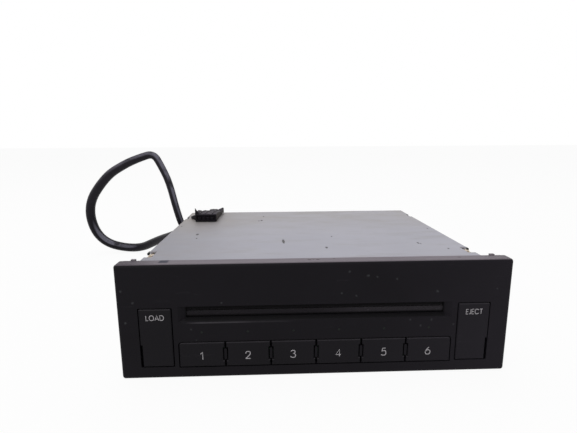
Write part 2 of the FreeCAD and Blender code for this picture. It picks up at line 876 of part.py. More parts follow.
def front_frame():
    """The pressed frame that carries the fascia: a plate, side ears and a sill."""
    piece = Body("front_frame")
    half = CASE_HALF + s.frame_ear
    low = s.case_low + s.sheet
    piece.pad("y", s.fascia_depth, s.frame_sheet, box_outline((-half, half), (low, LID_UNDER)))
    slot = s.slot_width / 2 + s.tunnel_wall
    piece.pocket("y", s.fascia_depth, s.frame_sheet, box_outline(
        (-slot, slot), (s.slot_low - s.funnel_drop, SLOT_TOP + s.tunnel_wall)))
    for side in HALVES:
        middle = side * s.frame_window_across
        half_window = s.frame_window / 2
        piece.pocket("y", s.fascia_depth, s.frame_sheet, box_outline(
            (middle - half_window, middle + half_window),
            (s.deck_low - half_window, s.deck_low + half_window), s.frame_window_round))
    ear = (WALL_IN - s.clearance - s.frame_sheet, WALL_IN - s.clearance)
    for side in HALVES:
        span = ear if side > 0 else (-ear[1], -ear[0])
        piece.pad("y", FRAME_BACK, s.ear_long, box_outline(
            span, (s.case_low + s.sheet, s.deck_low - s.ear_drop)))
    finish(piece.body, "front_frame")


MOUNT_DEPTHS = (s.mount_first, s.mount_first + s.mount_spacing)


def lower_chassis():
    """A folded tray with mounting collars, vents and board standoffs."""
    piece = Body("lower_chassis")
    floor = s.case_low + s.sheet
    long = PANEL_FRONT - FRAME_BACK
    piece.pad("y", FRAME_BACK, long, [
        (-CASE_HALF, s.case_low), (CASE_HALF, s.case_low), (CASE_HALF, LID_UNDER),
        (WALL_IN, LID_UNDER), (WALL_IN, floor), (-WALL_IN, floor),
        (-WALL_IN, LID_UNDER), (-CASE_HALF, LID_UNDER)])
    for side in HALVES:
        wall = WALL_IN if side > 0 else -CASE_HALF
        collar = WALL_IN - s.mount_collar if side > 0 else -WALL_IN
        ring = [(depth, s.mount_level, s.mount_hole + s.mount_collar_wall) for depth in MOUNT_DEPTHS]
        bore = [(depth, s.mount_level, s.mount_hole) for depth in MOUNT_DEPTHS]
        piece.pad("x", collar, s.mount_collar, *ring)
        start = WALL_IN - s.mount_collar if side > 0 else -CASE_HALF
        piece.pocket("x", start, s.sheet + s.mount_collar, *bore)
        screws = [(depth, s.screw_level, s.screw_shank + s.guide_gap) for depth in SIDE_SCREWS]
        piece.pocket("x", wall, s.sheet, *screws)
        notch = s.notch_front + s.notch_long
        piece.pocket("x", wall, s.sheet, [
            (s.notch_front, LID_UNDER - s.notch_drop), (notch, LID_UNDER - s.notch_drop),
            (notch, LID_UNDER), (s.notch_front, LID_UNDER)])
    vents = []
    for vent in range(int(SIZES["vent_count"])):
        along = s.case_back / 2 + s.vent_pitch * (vent - (s.vent_count - 1) / 2)
        vents.append(box_outline((-s.vent_long / 2, s.vent_long / 2),
                                 (along - s.vent_wide / 2, along + s.vent_wide / 2),
                                 (s.vent_wide - s.slot_end_flat) / 2))
    piece.pocket("z", s.case_low, s.sheet, *vents)
    piece.pad("z", floor, s.standoff_height, *[(x, y, s.standoff_radius) for x, y in STANDOFFS])
    piece.pocket("z", s.case_low, s.sheet + s.standoff_height,
                 *[(x, y, s.boss_hole) for x, y in STANDOFFS])
    finish(piece.body, "lower_chassis")


SIDE_SCREWS = (s.side_screw_first, s.side_screw_last)
STANDOFFS = [(side * (s.main_board_width / 2 - s.standoff_inset), depth) for side in HALVES
             for depth in (s.main_board_front + s.standoff_inset, s.main_board_back - s.standoff_inset)]


def top_cover():
    """The lid: a plate with folded lips inside the chassis walls."""
    piece = Body("top_cover")
    lip_out = WALL_IN - s.lip_gap
    lip_in = lip_out - s.sheet
    low = LID_UNDER - s.lip_drop
    piece.pad("y", FRAME_BACK, PANEL_FRONT - FRAME_BACK, [
        (-CASE_HALF, LID_UNDER), (-lip_out, LID_UNDER), (-lip_out, low), (-lip_in, low),
        (-lip_in, LID_UNDER), (lip_in, LID_UNDER), (lip_in, low), (lip_out, low),
        (lip_out, LID_UNDER), (CASE_HALF, LID_UNDER), (CASE_HALF, CASE_TOP), (-CASE_HALF, CASE_TOP)])
    piece.pad("y", s.fascia_depth, s.frame_sheet, box_outline((-lip_out, lip_out), (LID_UNDER, CASE_TOP)))
    piece.pad("y", PANEL_FRONT, s.sheet, box_outline((-CASE_HALF, CASE_HALF), (LID_UNDER, CASE_TOP)))
    high = s.sheet + s.lip_drop
    for side in HALVES:
        outer = (CASE_HALF - s.notch_wide, CASE_HALF)
        slight = (CASE_HALF - s.rear_notch_wide, CASE_HALF)
        if side < 0:
            outer = (-outer[1], -outer[0])
            slight = (-slight[1], -slight[0])
        front = (s.notch_front, s.notch_front + s.notch_long)
        rear = (s.rear_notch_front, s.rear_notch_front + s.rear_notch_long)
        piece.pocket("z", low, high, box_outline(outer, front), box_outline(slight, rear))
        start = lip_in if side > 0 else -lip_out
        piece.pocket("x", start, s.sheet, *[
            (depth, s.screw_level, s.boss_hole) for depth in SIDE_SCREWS])
    piece.soften("Fillet", s.cover_round, lambda at, along: (
        abs(along.y) > PARALLEL and abs(abs(at.x) - CASE_HALF.number) < NEAR
        and at.z > CASE_TOP.number - NEAR))
    finish(piece.body, "top_cover")


def rear_panel():
    """The back plate with the socket's opening."""
    piece = Body("rear_panel")
    piece.pad("y", PANEL_FRONT, s.sheet, box_outline((-CASE_HALF, CASE_HALF), (s.case_low, LID_UNDER)))
    piece.pocket("y", PANEL_FRONT, s.sheet, box_outline(
        (SOCKET[0] - s.guide_gap, SOCKET[1] + s.guide_gap),
        (s.socket_low - s.guide_gap, s.socket_low + s.socket_height + s.guide_gap)))
    piece.pocket("y", PANEL_FRONT, s.sheet, *[
        (x, z, s.screw_shank + s.guide_gap) for x, z in REAR_SCREWS])
    finish(piece.body, "rear_panel")


SOCKET = (-s.socket_across - s.socket_width / 2, -s.socket_across + s.socket_width / 2)
REAR_SCREWS = [(side * s.rear_screw_across, s.rear_screw_level) for side in HALVES]


def case_screws():
    """Six screws: two in each side wall and two in the rear panel."""
    screws = []
    for depth in SIDE_SCREWS:
        grip = s.sheet * 2 + s.lip_gap
        for side in HALVES:
            head_from = CASE_HALF if side > 0 else -CASE_HALF - s.screw_head_height
            shank_from = CASE_HALF - s.sheet if side > 0 else -CASE_HALF
            head = rod("x", head_from, depth, s.screw_level, s.screw_head, s.screw_head_height)
            shank = rod("x", shank_from, depth, s.screw_level, s.screw_shank, s.sheet)
            tip_from = CASE_HALF - grip if side > 0 else -CASE_HALF + s.sheet
            tip = rod("x", tip_from, depth, s.screw_level, s.boss_hole - s.guide_gap, grip - s.sheet)
            screws.append(fuse(head, shank, tip))
    for x, z in REAR_SCREWS:
        head = rod("y", x, s.case_back, z, s.screw_head, s.screw_head_height)
        shank = rod("y", x, PANEL_FRONT, z, s.screw_shank, s.sheet)
        screws.append(fuse(head, shank))
    finish(group(*screws), "case_screws")


def corner_brackets():
    """Two gilt-passivated angles under the notches in the cover's front corners."""
    angles = []
    for side in HALVES:
        inner = WALL_IN - s.lip_gap - s.notch_bracket
        outer = WALL_IN
        x = (inner, outer) if side > 0 else (-outer, -inner)
        y = (s.notch_front + s.clearance, s.notch_front + s.notch_long - s.clearance)
        upright = (outer - s.sheet, outer) if side > 0 else (-outer, -outer + s.sheet)
        top = LID_UNDER - s.bracket_drop
        angle = fuse(block(x, y, (top - s.sheet, top)), block(upright, y, (top - s.lip_drop, top)))
        middle = inner + s.notch_bracket / 2 if side > 0 else -inner - s.notch_bracket / 2
        depth = s.notch_front + s.notch_long / 2
        angles.append(fuse(angle, rod("z", middle, depth, top, s.stud_radius, s.stud_height)))
    finish(group(*angles), "corner_brackets")


# --- Rear socket, plug, lead and connector ----------------------------------------

SOCKET_FRONT = REAR - s.socket_depth


def rear_socket():
    """A pin header: a walled box through the rear panel with two rows of pins."""
    front = SOCKET_FRONT
    z = (s.socket_low, s.socket_low + s.socket_height)
    wall = s.socket_wall
    shell = block(SOCKET, (front, REAR), z)
    hollow = block((SOCKET[0] + wall, SOCKET[1] - wall), (front + wall * 2, REAR),
                   (z[0] + wall, z[1] - wall))
    pins = []
    for row in HALVES:
        for place in range(int(SIZES["socket_pin_count"])):
            across = -s.socket_across + s.socket_pin_pitch * (place - (s.socket_pin_count - 1) / 2)
            level = (z[0] + z[1]) / 2 + row * s.socket_pin_pitch
            half = s.socket_pin / 2
            pins.append(block((across - half, across + half), (front + wall, REAR - s.plug_length / 2),
                              (level - half, level + half)))
    finish(fuse(cut(shell, hollow), *pins), "rear_socket")


def lead_plug():
    """The plug seated in the rear socket, with the ribbed boot of the lead."""
    piece = Body("lead_plug")
    inset = s.socket_wall + s.plug_gap
    x = (SOCKET[0] + inset, SOCKET[1] - inset)
    z = (s.socket_low + inset, s.socket_low + s.socket_height - inset)
    start = REAR - s.plug_seat
    piece.pad("y", start, s.plug_length + s.plug_seat, box_outline(x, z, s.connector_round))
    piece.pad("y", REAR + s.plug_gap, s.plug_length - s.plug_gap, box_outline(
        (x[0] - inset, x[1] + inset), (z[0] - inset / 2, z[1] + inset / 2), s.gland_wall))
    end = REAR + s.plug_length
    piece.pad("y", end, s.gland_length, (LEAD_START[0], LEAD_START[2], s.lead_radius + s.gland_wall))
    finish(piece.body, "lead_plug")


# How much of the shorter run each bend takes from its corner.
BEND_SHARE = 0.45


def tube(points, radius):
    """A round tube along straight runs joined by tangent arcs; returns it with its length."""
    stops = [FreeCAD.Vector(*point) for point in points]
    edges = []
    length = 0.0
    last = stops[0]
    radii = []
    for before, corner, after in zip(stops, stops[1:], stops[2:]):
        came, goes = (corner - before), (after - corner)
        turn = came.getAngle(goes)
        reach = BEND_SHARE * min(came.Length, goes.Length)
        radii.append(reach / math.tan(turn / 2))
        came.normalize()
        goes.normalize()
        start, end = corner - came * reach, corner + goes * reach
        inward = (goes - came).normalize()
        bulge = radii[-1] * (1 / math.cos(turn / 2) - 1)
        edges.append(Part.LineSegment(last, start).toShape())
        edges.append(Part.Arc(start, corner + inward * bulge, end).toShape())
        length += (start - last).Length + radii[-1] * turn
        last = end
    edges.append(Part.LineSegment(last, stops[-1]).toShape())
    length += (stops[-1] - last).Length
    heading = stops[1] - stops[0]
    ring = Part.Wire(Part.Circle(stops[0], heading, radius).toShape())
    pipe = Part.Wire(edges).makePipeShell([ring], True, False)
    print("bend radii %s mm" % ", ".join("%.0f" % bend for bend in radii))
    print("tube %.1f mm long, volume %.4f of section times length"
          % (length, pipe.Volume / (math.pi * radius ** 2 * length)))
    return pipe


def cord(label, points, radius):
    """A free lead along its hand-set route, from face to face of what it joins."""
    route = [tuple(size(place).number for place in point) for point in points]
    piece = doc.addObject("Part::Feature", "Lead")
    piece.Shape = tube(route, radius.number)
    finish(piece, label)


def harness_connector():
    """The multi-way connector that lies on the cover: a wedge with a wire entry, a tab and prongs."""
    piece = Body("harness_connector")
    low = CASE_TOP + s.connector_lift
    high = low + s.connector_height
    half = s.connector_width / 2
    x = (-s.connector_across - half, -s.connector_across + half)
    front = s.connector_front
    back = front + s.connector_length
    piece.pad("y", front, s.connector_length, box_outline(x, (low, high), s.connector_round))
    piece.pocket("x", x[0], s.connector_width, [
        (front + s.connector_flat, high), (back, low + s.connector_rear), (back, high)])
    entry = s.wires_radius + s.entry_wall
    piece.pad("y", back - s.connector_entry, s.connector_entry, box_outline(
        (-s.connector_across - entry, -s.connector_across + entry), (low, low + entry * 2),
        s.connector_round))
    foot = s.prong_foot
    thick = s.prong_thickness
    piece.pad("x", x[0], thick, [
        (front + thick, high - thick), (front + thick + foot, high - thick),
        (front + foot, high + s.connector_prong), (front + foot - thick, high + s.connector_prong)])
    piece.pad("x", x[1] - thick, thick, [
        (back - foot * 2, low + thick), (back, low + thick), (back - thick, low + s.connector_prong + thick)])
    piece.pad("z", low, s.tab_thickness, [
        (x[0] + thick, front + s.connector_tab), (x[0] + thick, front + s.connector_tab * 2),
        (x[0] - s.connector_tab, front + s.connector_tab * 2)])
    ways = []
    for row in HALVES:
        for place in range(int(SIZES["connector_way_count"])):
            across = -s.connector_across + s.socket_pin_pitch * (place - (s.connector_way_count - 1) / 2)
            level = low + s.connector_height / 2 + row * s.connector_way
            ways.append(box_outline((across - s.connector_way / 2, across + s.connector_way / 2),
                                    (level - s.connector_way / 2, level + s.connector_way / 2)))
    piece.pocket("y", front, s.connector_flat, *ways)
    finish(piece.body, "harness_connector")


LEAD_START = (-s.socket_across, REAR + s.plug_length + s.gland_length,
              s.socket_low + s.socket_height / 2)
LEAD = [
    LEAD_START,
    (-66, 188, 21.3), (-71, 204, 19.3), (-89, 213, 18.3), (-107.5, 208, 28.3), (-115.5, 203, 51.3),
    (-120, 203, 75.3), (-124.8, 203.5, 90.3), (-132, 205, 102.8), (-145, 206, 99.8),
    (-160, 209, 93.8), (-182, 214, 81.3), (-207, 223, 50), (-201, 231, 11.5), (-164, 233, 1.7),
    (-134, 213, 13), (-116, 194, 26), (-98, 178, 37.3), (-82, 168.5, 38.8),
]
CONNECTOR_BACK = (-s.connector_across, s.connector_front + s.connector_length,
                  CASE_TOP + s.connector_lift * 2 + s.wires_radius)
WIRES = [LEAD[-1], (-74, 163.75, 39.55), (-71, 161.8, 46.8), (-70.9, 160.4, 56.7), CONNECTOR_BACK]


# --- Main board and floating deck ---------------------------------------------------

BOARD_LEVEL = s.case_low + s.sheet + s.standoff_height
DECK_TOP = s.deck_low + s.deck_sheet


# Across, depth, width and length of each chip; across and depth of each capacitor.
CHIPS = [(-30, 70, 14, 14), (8, 84, 20, 12), (40, 66, 12, 12), (-8, 118, 9, 16)]
CHIP_HEIGHT = 1.8
CAPACITORS = [(48, 120), (38, 126), (-45, 118)]
CAPACITOR_RADIUS = 3.0
CAPACITOR_HEIGHT = 4.4


def main_circuit_board():
    """The board under the deck with its chips and capacitors."""
    half = s.main_board_width / 2
    top = BOARD_LEVEL + s.board_thickness
    plate = block((-half, half), (s.main_board_front, s.main_board_back), (BOARD_LEVEL, top))
    holes = [rod("z", x, y, BOARD_LEVEL, s.boss_hole + s.guide_gap, s.board_thickness)
             for x, y in STANDOFFS]
    parts = [block((x - wide / 2, x + wide / 2), (y - long / 2, y + long / 2), (top, top + CHIP_HEIGHT))
             for x, y, wide, long in CHIPS]
    parts += [rod("z", x, y, top, CAPACITOR_RADIUS, CAPACITOR_HEIGHT) for x, y in CAPACITORS]
    finish(fuse(cut(plate, *holes), *parts), "main_circuit_board")


def board_screws():
    """Four screws through the main board into the standoffs."""
    top = BOARD_LEVEL + s.board_thickness
    screws = [fuse(rod("z", x, y, top, s.screw_head, s.screw_head_height),
                   rod("z", x, y, s.case_low + s.sheet, s.boss_hole - s.guide_gap,
                       s.standoff_height + s.board_thickness)) for x, y in STANDOFFS]
    finish(group(*screws), "board_screws")


PINS = [(1, s.front_pin), (1, s.rear_pin), (-1, s.left_pin)]
TRAY_REST = s.disc_level - s.tray_sheet
TRAYS = range(1, 7)
PLAYED_TRAY = 4


def tray_shift(number):
    """How far a tray lies from its loading height while the stack is open."""
    if number < PLAYED_TRAY:
        return -s.lower_drop
    return s.upper_rise if number > PLAYED_TRAY else -s.play_drop


def tray_level(number):
    """Underside of a tray with the stack open, as it is modelled."""
    return TRAY_REST + s.tray_pitch * (number - PLAYED_TRAY) + tray_shift(number)


PIN_RISE = s.tray_sheet / 2
# How far behind the cross-shaft the deck reaches its side walls, and the metal round the shaft.
DECK_RETURN = 7.0
SHAFT_LUG = 2.0


def deck_base():
    """The floating chassis: floor, slotted side walls, pivot stud and roller ears."""
    piece = Body("deck_base")
    half = s.deck_width / 2
    piece.pad("z", s.deck_low, s.deck_sheet, box_outline((-half, half), (s.deck_front, s.deck_back)))
    thick = s.deck_wall
    wall_front = s.shaft_depth + DECK_RETURN
    foot = s.shaft_radius + SHAFT_LUG
    for side in HALVES:
        inner = s.deck_wall_inner if side > 0 else -s.deck_wall_inner - thick
        base = (half - thick, s.deck_wall_inner + thick)
        if side < 0:
            base = (-base[1], -base[0])
        high = s.deck_low + s.deck_wall_height
        piece.pad("z", s.deck_low, s.deck_sheet, box_outline(base, (wall_front, s.deck_back)))
        piece.pad("x", inner, thick, box_outline((s.deck_front, s.deck_back), (s.deck_low, high)))
        piece.pad("x", inner, thick, box_outline(
            (s.shaft_depth - foot, s.shaft_depth + foot), (s.shaft_level - foot, DECK_TOP)))
        piece.pocket("x", inner, thick, (s.shaft_depth, s.shaft_level, s.shaft_radius + s.running_gap))
        slots = [box_outline((depth - s.pin_radius - s.cam_slot_gap, depth + s.pin_radius + s.cam_slot_gap),
                             (DECK_TOP + s.deck_sheet, high - s.deck_sheet))
                 for way, depth in PINS if way == side]
        piece.pocket("x", inner, thick, *slots)
    piece.pocket("z", s.deck_low, s.deck_sheet, box_outline(
        (SOCKET[0] - s.socket_room, SOCKET[1] + s.socket_room),
        (SOCKET_FRONT - s.socket_room, s.deck_back)))
    gear = s.worm_gear_radius + s.deck_sheet
    piece.pocket("z", s.deck_low, s.deck_sheet, box_outline(
        (-s.worm_across - s.worm_gear_width, -s.worm_across + s.worm_gear_width),
        (s.shaft_depth - gear, s.shaft_depth + gear)))
    piece.pad("z", DECK_TOP, s.arm_low - DECK_TOP - s.clearance,
              (-s.pivot_across, s.pivot_depth, s.pivot_boss))
    piece.pad("z", DECK_TOP, s.clamp_level - DECK_TOP, (-s.pivot_across, s.pivot_depth, s.pivot_radius))
    stud = s.roller_shaft
    hinge = (s.bracket_depth, s.bracket_level)
    ear = box_outline((hinge[0] - s.bracket_boss, hinge[0] + s.bracket_boss),
                      (DECK_TOP, hinge[1] + s.bracket_boss))
    left = -s.bracket_left - s.bracket_sheet - s.clearance * 2 - s.bracket_ear
    piece.pad("x", left, s.bracket_ear, ear)
    piece.pad("x", left, -s.bracket_left - left, (*hinge, stud))
    right = s.bracket_right - s.clearance * 2 - s.bracket_ear
    piece.pad("x", right, s.bracket_ear, ear)
    piece.pad("x", right, s.bracket_right + s.bracket_sheet - right, (*hinge, stud))
    inner = s.feed_gear_inner
    outer = inner + s.feed_gear_width + s.clearance
    piece.pad("x", outer, s.bracket_ear, box_outline(
        (IDLE[0] - s.bracket_boss, IDLE[0] + s.bracket_boss), (DECK_TOP, IDLE[1] + s.bracket_boss)))
    piece.pad("x", inner, outer - inner, (*IDLE, stud))
    finish(piece.body, "deck_base")


DAMPERS = [(side * s.damper_across, depth) for side in HALVES
           for depth in (s.damper_first, s.damper_first + s.damper_spacing)]
FLOOR = s.case_low + s.sheet


def dampers():
    """Four oil-filled rubber pots between the case floor and the deck."""
    height = s.deck_low - FLOOR
    pots = [fuse(rod("z", x, y, FLOOR, s.damper_radius, height - s.damper_neck),
                 rod("z", x, y, FLOOR, s.damper_radius / 2, height))
            for x, y in DAMPERS]
    finish(group(*pots), "dampers")


def suspension_springs():
    """The coil round each damper, as the sleeve that it fills."""
    height = s.deck_low - FLOOR
    sleeves = [cut(rod("z", x, y, FLOOR, s.spring_radius, height),
                   rod("z", x, y, FLOOR, s.spring_radius - s.spring_wall, height)) for x, y in DAMPERS]
    finish(group(*sleeves), "suspension_springs")


# --- Loading roller ------------------------------------------------------------------

ROLL = (s.roller_depth, s.roller_level)
IDLE = (s.idler_depth, s.idler_level)
GEAR_SPAN = ((ROLL[0] - IDLE[0]) * (ROLL[0] - IDLE[0]) + (ROLL[1] - IDLE[1]) * (ROLL[1] - IDLE[1])).root()
FEED_RADIUS = GEAR_SPAN / 2


# Tooth form in modules: root and tip from the pitch line, half widths, and how
# deep a tooth is rooted in its blank.
DEDENDUM = 1.2
ADDENDUM = 0.85
TOOTH_WIDE = 0.84
TOOTH_NARROW = 0.3
TOOTH_FOOT = 0.5


def gear(label, axis, place, pitch_radius, teeth, width, bore, first):
    """A spur gear about its own origin: a blank with one tooth, patterned.

    The first tooth points at an angle in degrees from the section's own x.
    """
    module = pitch_radius * 2 / teeth
    piece = Body(label)
    root = pitch_radius - module * DEDENDUM
    tip = pitch_radius + module * ADDENDUM
    piece.pad(axis, 0, width, (0, 0, root))
    wide, narrow = module * TOOTH_WIDE, module * TOOTH_NARROW
    foot = root - module * TOOTH_FOOT
    tooth = piece.pad(axis, 0, width, [(foot, -wide), (tip, -narrow), (tip, narrow), (foot, wide)])
    pattern = piece.body.newObject("PartDesign::PolarPattern", "Teeth")
    pattern.Originals = [tooth]
    roles = {"x": "X_Axis", "y": "Y_Axis", "z": "Z_Axis"}
    line = [o for o in piece.body.Origin.OriginFeatures if o.Role == roles[axis]][0]
    pattern.Axis = (line, [""])
    pattern.Angle = 360
    pattern.Occurrences = int(teeth.number)
    bind(pattern, "Occurrences", teeth)
    piece.body.Tip = pattern
    doc.recompute()
    if bore is not None:
        piece.pocket(axis, 0, width, (0, 0, bore))
    vector = {"x": X, "y": Y, "z": Z}[axis]
    turn = FreeCAD.Rotation(FreeCAD.Vector(*vector), first)
    put(piece.body, place[0], place[1], place[2], turn)
    return piece.body


def set_down(body, label, place):
    """Finish a piece that is drawn about its own axis."""
    body.Label = label
    bind(body, "Placement.Base.y", size(place[1]) - MIDDLE)
    finished.append(body)


FEED_LINE = math.degrees(math.atan2((ROLL[1] - IDLE[1]).number, (ROLL[0] - IDLE[0]).number))
FEED_PITCH = 360 / SIZES["idler_teeth"]
PINION_RADIUS = FEED_RADIUS * s.feed_pinion_teeth / s.idler_teeth
PINION_SPOT = (s.idler_depth + FEED_RADIUS + PINION_RADIUS, s.idler_level)


def loading_gears():
    """Roller gear, idler and motor pinion, in mesh at the right-hand wall."""
    inner = s.feed_gear_inner
    idler = gear("feed_idler", "x", (inner, *IDLE), FEED_RADIUS, s.idler_teeth, s.feed_gear_width,
                 s.roller_shaft + s.running_gap, FEED_LINE)
    set_down(idler, "feed_idler", (inner, *IDLE))
    driven = gear("roller_gear", "x", (inner, *ROLL), FEED_RADIUS, s.idler_teeth, s.feed_gear_width,
                  s.roller_shaft, FEED_LINE + 180 + FEED_PITCH / 2)
    set_down(driven, "roller_gear", (inner, *ROLL))
    steps = (0 - FEED_LINE) / FEED_PITCH
    phase = (steps - math.floor(steps)) * 360 / SIZES["feed_pinion_teeth"]
    pinion = gear("feed_pinion", "x", (inner, *PINION_SPOT), PINION_RADIUS, s.feed_pinion_teeth,
                  s.feed_gear_width, s.pinion_bore, 180 + phase + 180 / SIZES["feed_pinion_teeth"])
    set_down(pinion, "feed_pinion", (inner, *PINION_SPOT))


def roller_shaft():
    """The steel shaft through both bracket arms to the roller gear."""
    start = -s.bracket_left - s.bracket_sheet - s.shaft_end
    finish(rod("x", start, ROLL[0], ROLL[1], s.roller_shaft,
               s.feed_gear_inner + s.feed_gear_width - start), "roller_shaft")


def feed_roller():
    """Two rubber sleeves that narrow toward the middle, so that a disc centres itself."""
    sleeves = []
    long = s.roller_half - s.roller_gap / 2
    left = cone("x", -s.roller_half, ROLL[0], ROLL[1], s.roller_radius, s.roller_waist, long)
    right = cone("x", s.roller_gap / 2, ROLL[0], ROLL[1], s.roller_waist, s.roller_radius, long)
    for sleeve, start in ((left, -s.roller_half), (right, s.roller_gap / 2)):
        bore = rod("x", start, ROLL[0], ROLL[1], s.roller_shaft, long)
        sleeves.append(cut(sleeve, bore))
    finish(group(*sleeves), "feed_roller")


def roller_bracket():
    """The rocking bracket: two cranked arms tied by a bar under the roller."""
    piece = Body("roller_bracket")
    boss = s.bracket_boss
    hinge = (s.bracket_depth, s.bracket_level)
    low = hinge[1] - boss
    arm = [(hinge[0] + boss, low), (hinge[0] + boss, hinge[1] + boss), (ROLL[0] + boss, hinge[1] + boss),
           (ROLL[0] + boss, ROLL[1] + boss), (ROLL[0] - boss, ROLL[1] + boss), (ROLL[0] - boss, low)]
    left = -s.bracket_left - s.bracket_sheet
    right = s.bracket_right
    piece.pad("x", left, s.bracket_sheet, arm)
    piece.pad("x", left, right + s.bracket_sheet - left, box_outline(
        (ROLL[0] - boss, ROLL[0] + boss), (low, low + s.bracket_sheet)))
    piece.pad("x", right, s.bracket_sheet, arm)
    bore = s.roller_shaft + s.running_gap
    piece.pocket("x", left, right + s.bracket_sheet - left, (*hinge, bore), (*ROLL, bore))
    finish(piece.body, "roller_bracket")


def disc_guide():
    """The plate over the roller, with two low rails and a leg at each end."""
    half = s.slot_width / 2 + s.guide_leg
    front = s.deck_front + s.guide_gap
    top = (s.guide_level, s.guide_level + s.guide_sheet)
    plate = block((-half, half), (front, s.guide_back), top)
    level = (s.guide_level - s.guide_rail_height, s.guide_level)
    inner = s.guide_rail_outer - s.guide_leg
    rails = [block(span, (front, s.guide_back), level)
             for span in ((-s.guide_rail_outer, -inner), (inner, s.guide_rail_outer))]
    legs = [block(span, (front, front + s.guide_sheet), (DECK_TOP, s.guide_level))
            for span in ((-half, s.guide_leg - half), (half - s.guide_leg, half))]
    finish(fuse(plate, *rails, *legs), "disc_guide")


def feed_motor():
    """The loading motor beside the idler, its shaft in the pinion."""
    nose_start = s.feed_gear_inner + s.feed_gear_width + s.clearance * 2 + s.bracket_ear
    start = nose_start + s.motor_nose_length
    can = rod("x", start, *PINION_SPOT, s.feed_motor_radius, s.feed_motor_length)
    nose = rod("x", nose_start, *PINION_SPOT, s.motor_nose, s.motor_nose_length)
    saddle = block((start, start + s.feed_motor_length),
                   (PINION_SPOT[0] - s.motor_saddle, PINION_SPOT[0] + s.motor_saddle),
                   (DECK_TOP, PINION_SPOT[1] - s.motor_saddle))
    finish(fuse(can, nose, saddle), "feed_motor")


# --- Trays and elevator ---------------------------------------------------------------

def disc_tray(number):
    """A crescent tray: rimmed at the disc's edge, open where the traverse comes in."""
    low = tray_level(number)
    rim_inner = s.disc_radius + s.clearance
    outer = rim_inner + s.tray_rim_width
    middle = (0, s.disc_depth)
    tall = s.tray_sheet + s.tray_rim
    ring = cut(rod("z", *middle, low, outer, tall), rod("z", *middle, low, s.tray_inner, tall),
               rod("z", *middle, low + s.tray_sheet, rim_inner, s.tray_rim))
    ears = []
    pins = []
    for side, depth in PINS:
        near = depth - s.ear_width / 2
        far = depth + s.ear_width / 2
        reach = (s.ear_inner, s.tray_reach) if side > 0 else (-s.tray_reach, -s.tray_inner)
        ears.append(block(reach, (near, far), (low, low + s.tray_sheet)))
        long = s.pin_reach - s.tray_reach + s.pin_root
        start = s.tray_reach - s.pin_root if side > 0 else -s.pin_reach
        pins.append(rod("x", start, depth, low + PIN_RISE, s.pin_radius, long))
    solid = fuse(ring, *ears)
    sweep = rod("z", -s.pivot_across, s.pivot_depth, low, s.tray_sweep, tall)
    spared = block((-s.pin_reach, -s.ear_inner),
                   (s.left_pin - s.ear_width / 2, s.left_pin + s.ear_width), (low, low + tall))
    carved = cut(solid, cut(sweep, spared))
    finish(fuse(carved, *pins), "disc_tray_%d" % number)


# Rack form in modules: root and tip from the pitch line, half widths, and the spare end.
RACK_DEDENDUM = 1.25
RACK_ADDENDUM = 0.8
RACK_WIDE = 0.92
RACK_NARROW = 0.36
RACK_END = 1.5


def cam_slide(label, side):
    """A rack-driven plate whose slanted slots raise and lower the tray pins."""
    piece = Body(label)
    start = s.cam_inner if side > 0 else -s.cam_inner - s.cam_sheet
    end = s.case_back - s.sheet - s.cam_end
    module = s.pinion_radius * 2 / s.pinion_teeth
    pitch = module * math.pi
    line = s.shaft_level + s.pinion_radius
    root = line + module * RACK_DEDENDUM
    step = s.shaft_depth + s.cam_travel + s.pinion_radius + module * RACK_END
    piece.pad("x", start, s.cam_sheet, [
        (s.cam_front, root), (step, root), (step, s.cam_low), (end, s.cam_low),
        (end, s.cam_high), (s.cam_front, s.cam_high)])
    teeth = []
    count = int((SIZES["cam_travel"] + SIZES["pinion_radius"]) / pitch.number)
    for tooth in range(-2, count):
        middle = s.shaft_depth + pitch * (tooth + 0.5)
        wide, narrow = module * RACK_WIDE, module * RACK_NARROW
        tip = line - module * RACK_ADDENDUM
        teeth.append([(middle - wide, root), (middle - narrow, tip), (middle + narrow, tip),
                      (middle + wide, root)])
    piece.pad("x", start, s.cam_sheet, *teeth)
    slots = []
    for way, depth in PINS:
        if way == side:
            for number in TRAYS:
                slots.append(cam_slot(depth, number))
    for slot in slots:
        piece.pocket("x", start, s.cam_sheet, slot)
    finish(piece.body, label)


def cam_slot(depth, number):
    """One tray's slot: its open end lies at the pin, its closed end one travel behind."""
    low = tray_level(number) + PIN_RISE
    high = low - tray_shift(number)
    gap = s.pin_radius + s.cam_slot_gap
    rise = -tray_shift(number).number
    slant = math.atan2(rise, SIZES["cam_travel"])
    reach = gap / math.cos(slant)
    slope = size(high - low) / s.cam_travel
    front, back = depth - gap, depth + s.cam_travel + gap
    return [(front, low - slope * gap - reach), (back, high + slope * gap - reach),
            (back, high + slope * gap + reach), (front, low - slope * gap + reach)]


# Worm form: turns of thread, then root, tip, core and half widths in modules.
WORM_TURNS = 4
WORM_ROOT = 0.95
WORM_TIP = 0.6
WORM_CORE = 0.9
WORM_WIDE = 0.62
WORM_NARROW = 0.12


def worm_thread(pitch, module):
    """A right-handed thread about +Z that starts at +X."""
    radius = SIZES["worm_radius"]
    helix = Part.makeHelix(pitch, pitch * WORM_TURNS, radius)
    foot, tip = radius - module * WORM_ROOT, radius + module * WORM_TIP
    wide, narrow = module * WORM_WIDE, module * WORM_NARROW
    corners = [FreeCAD.Vector(foot, 0, -wide), FreeCAD.Vector(tip, 0, -narrow),
               FreeCAD.Vector(tip, 0, narrow), FreeCAD.Vector(foot, 0, wide)]
    profile = Part.makePolygon(corners + corners[:1])
    return Part.Wire(helix).makePipeShell([profile], True, True)


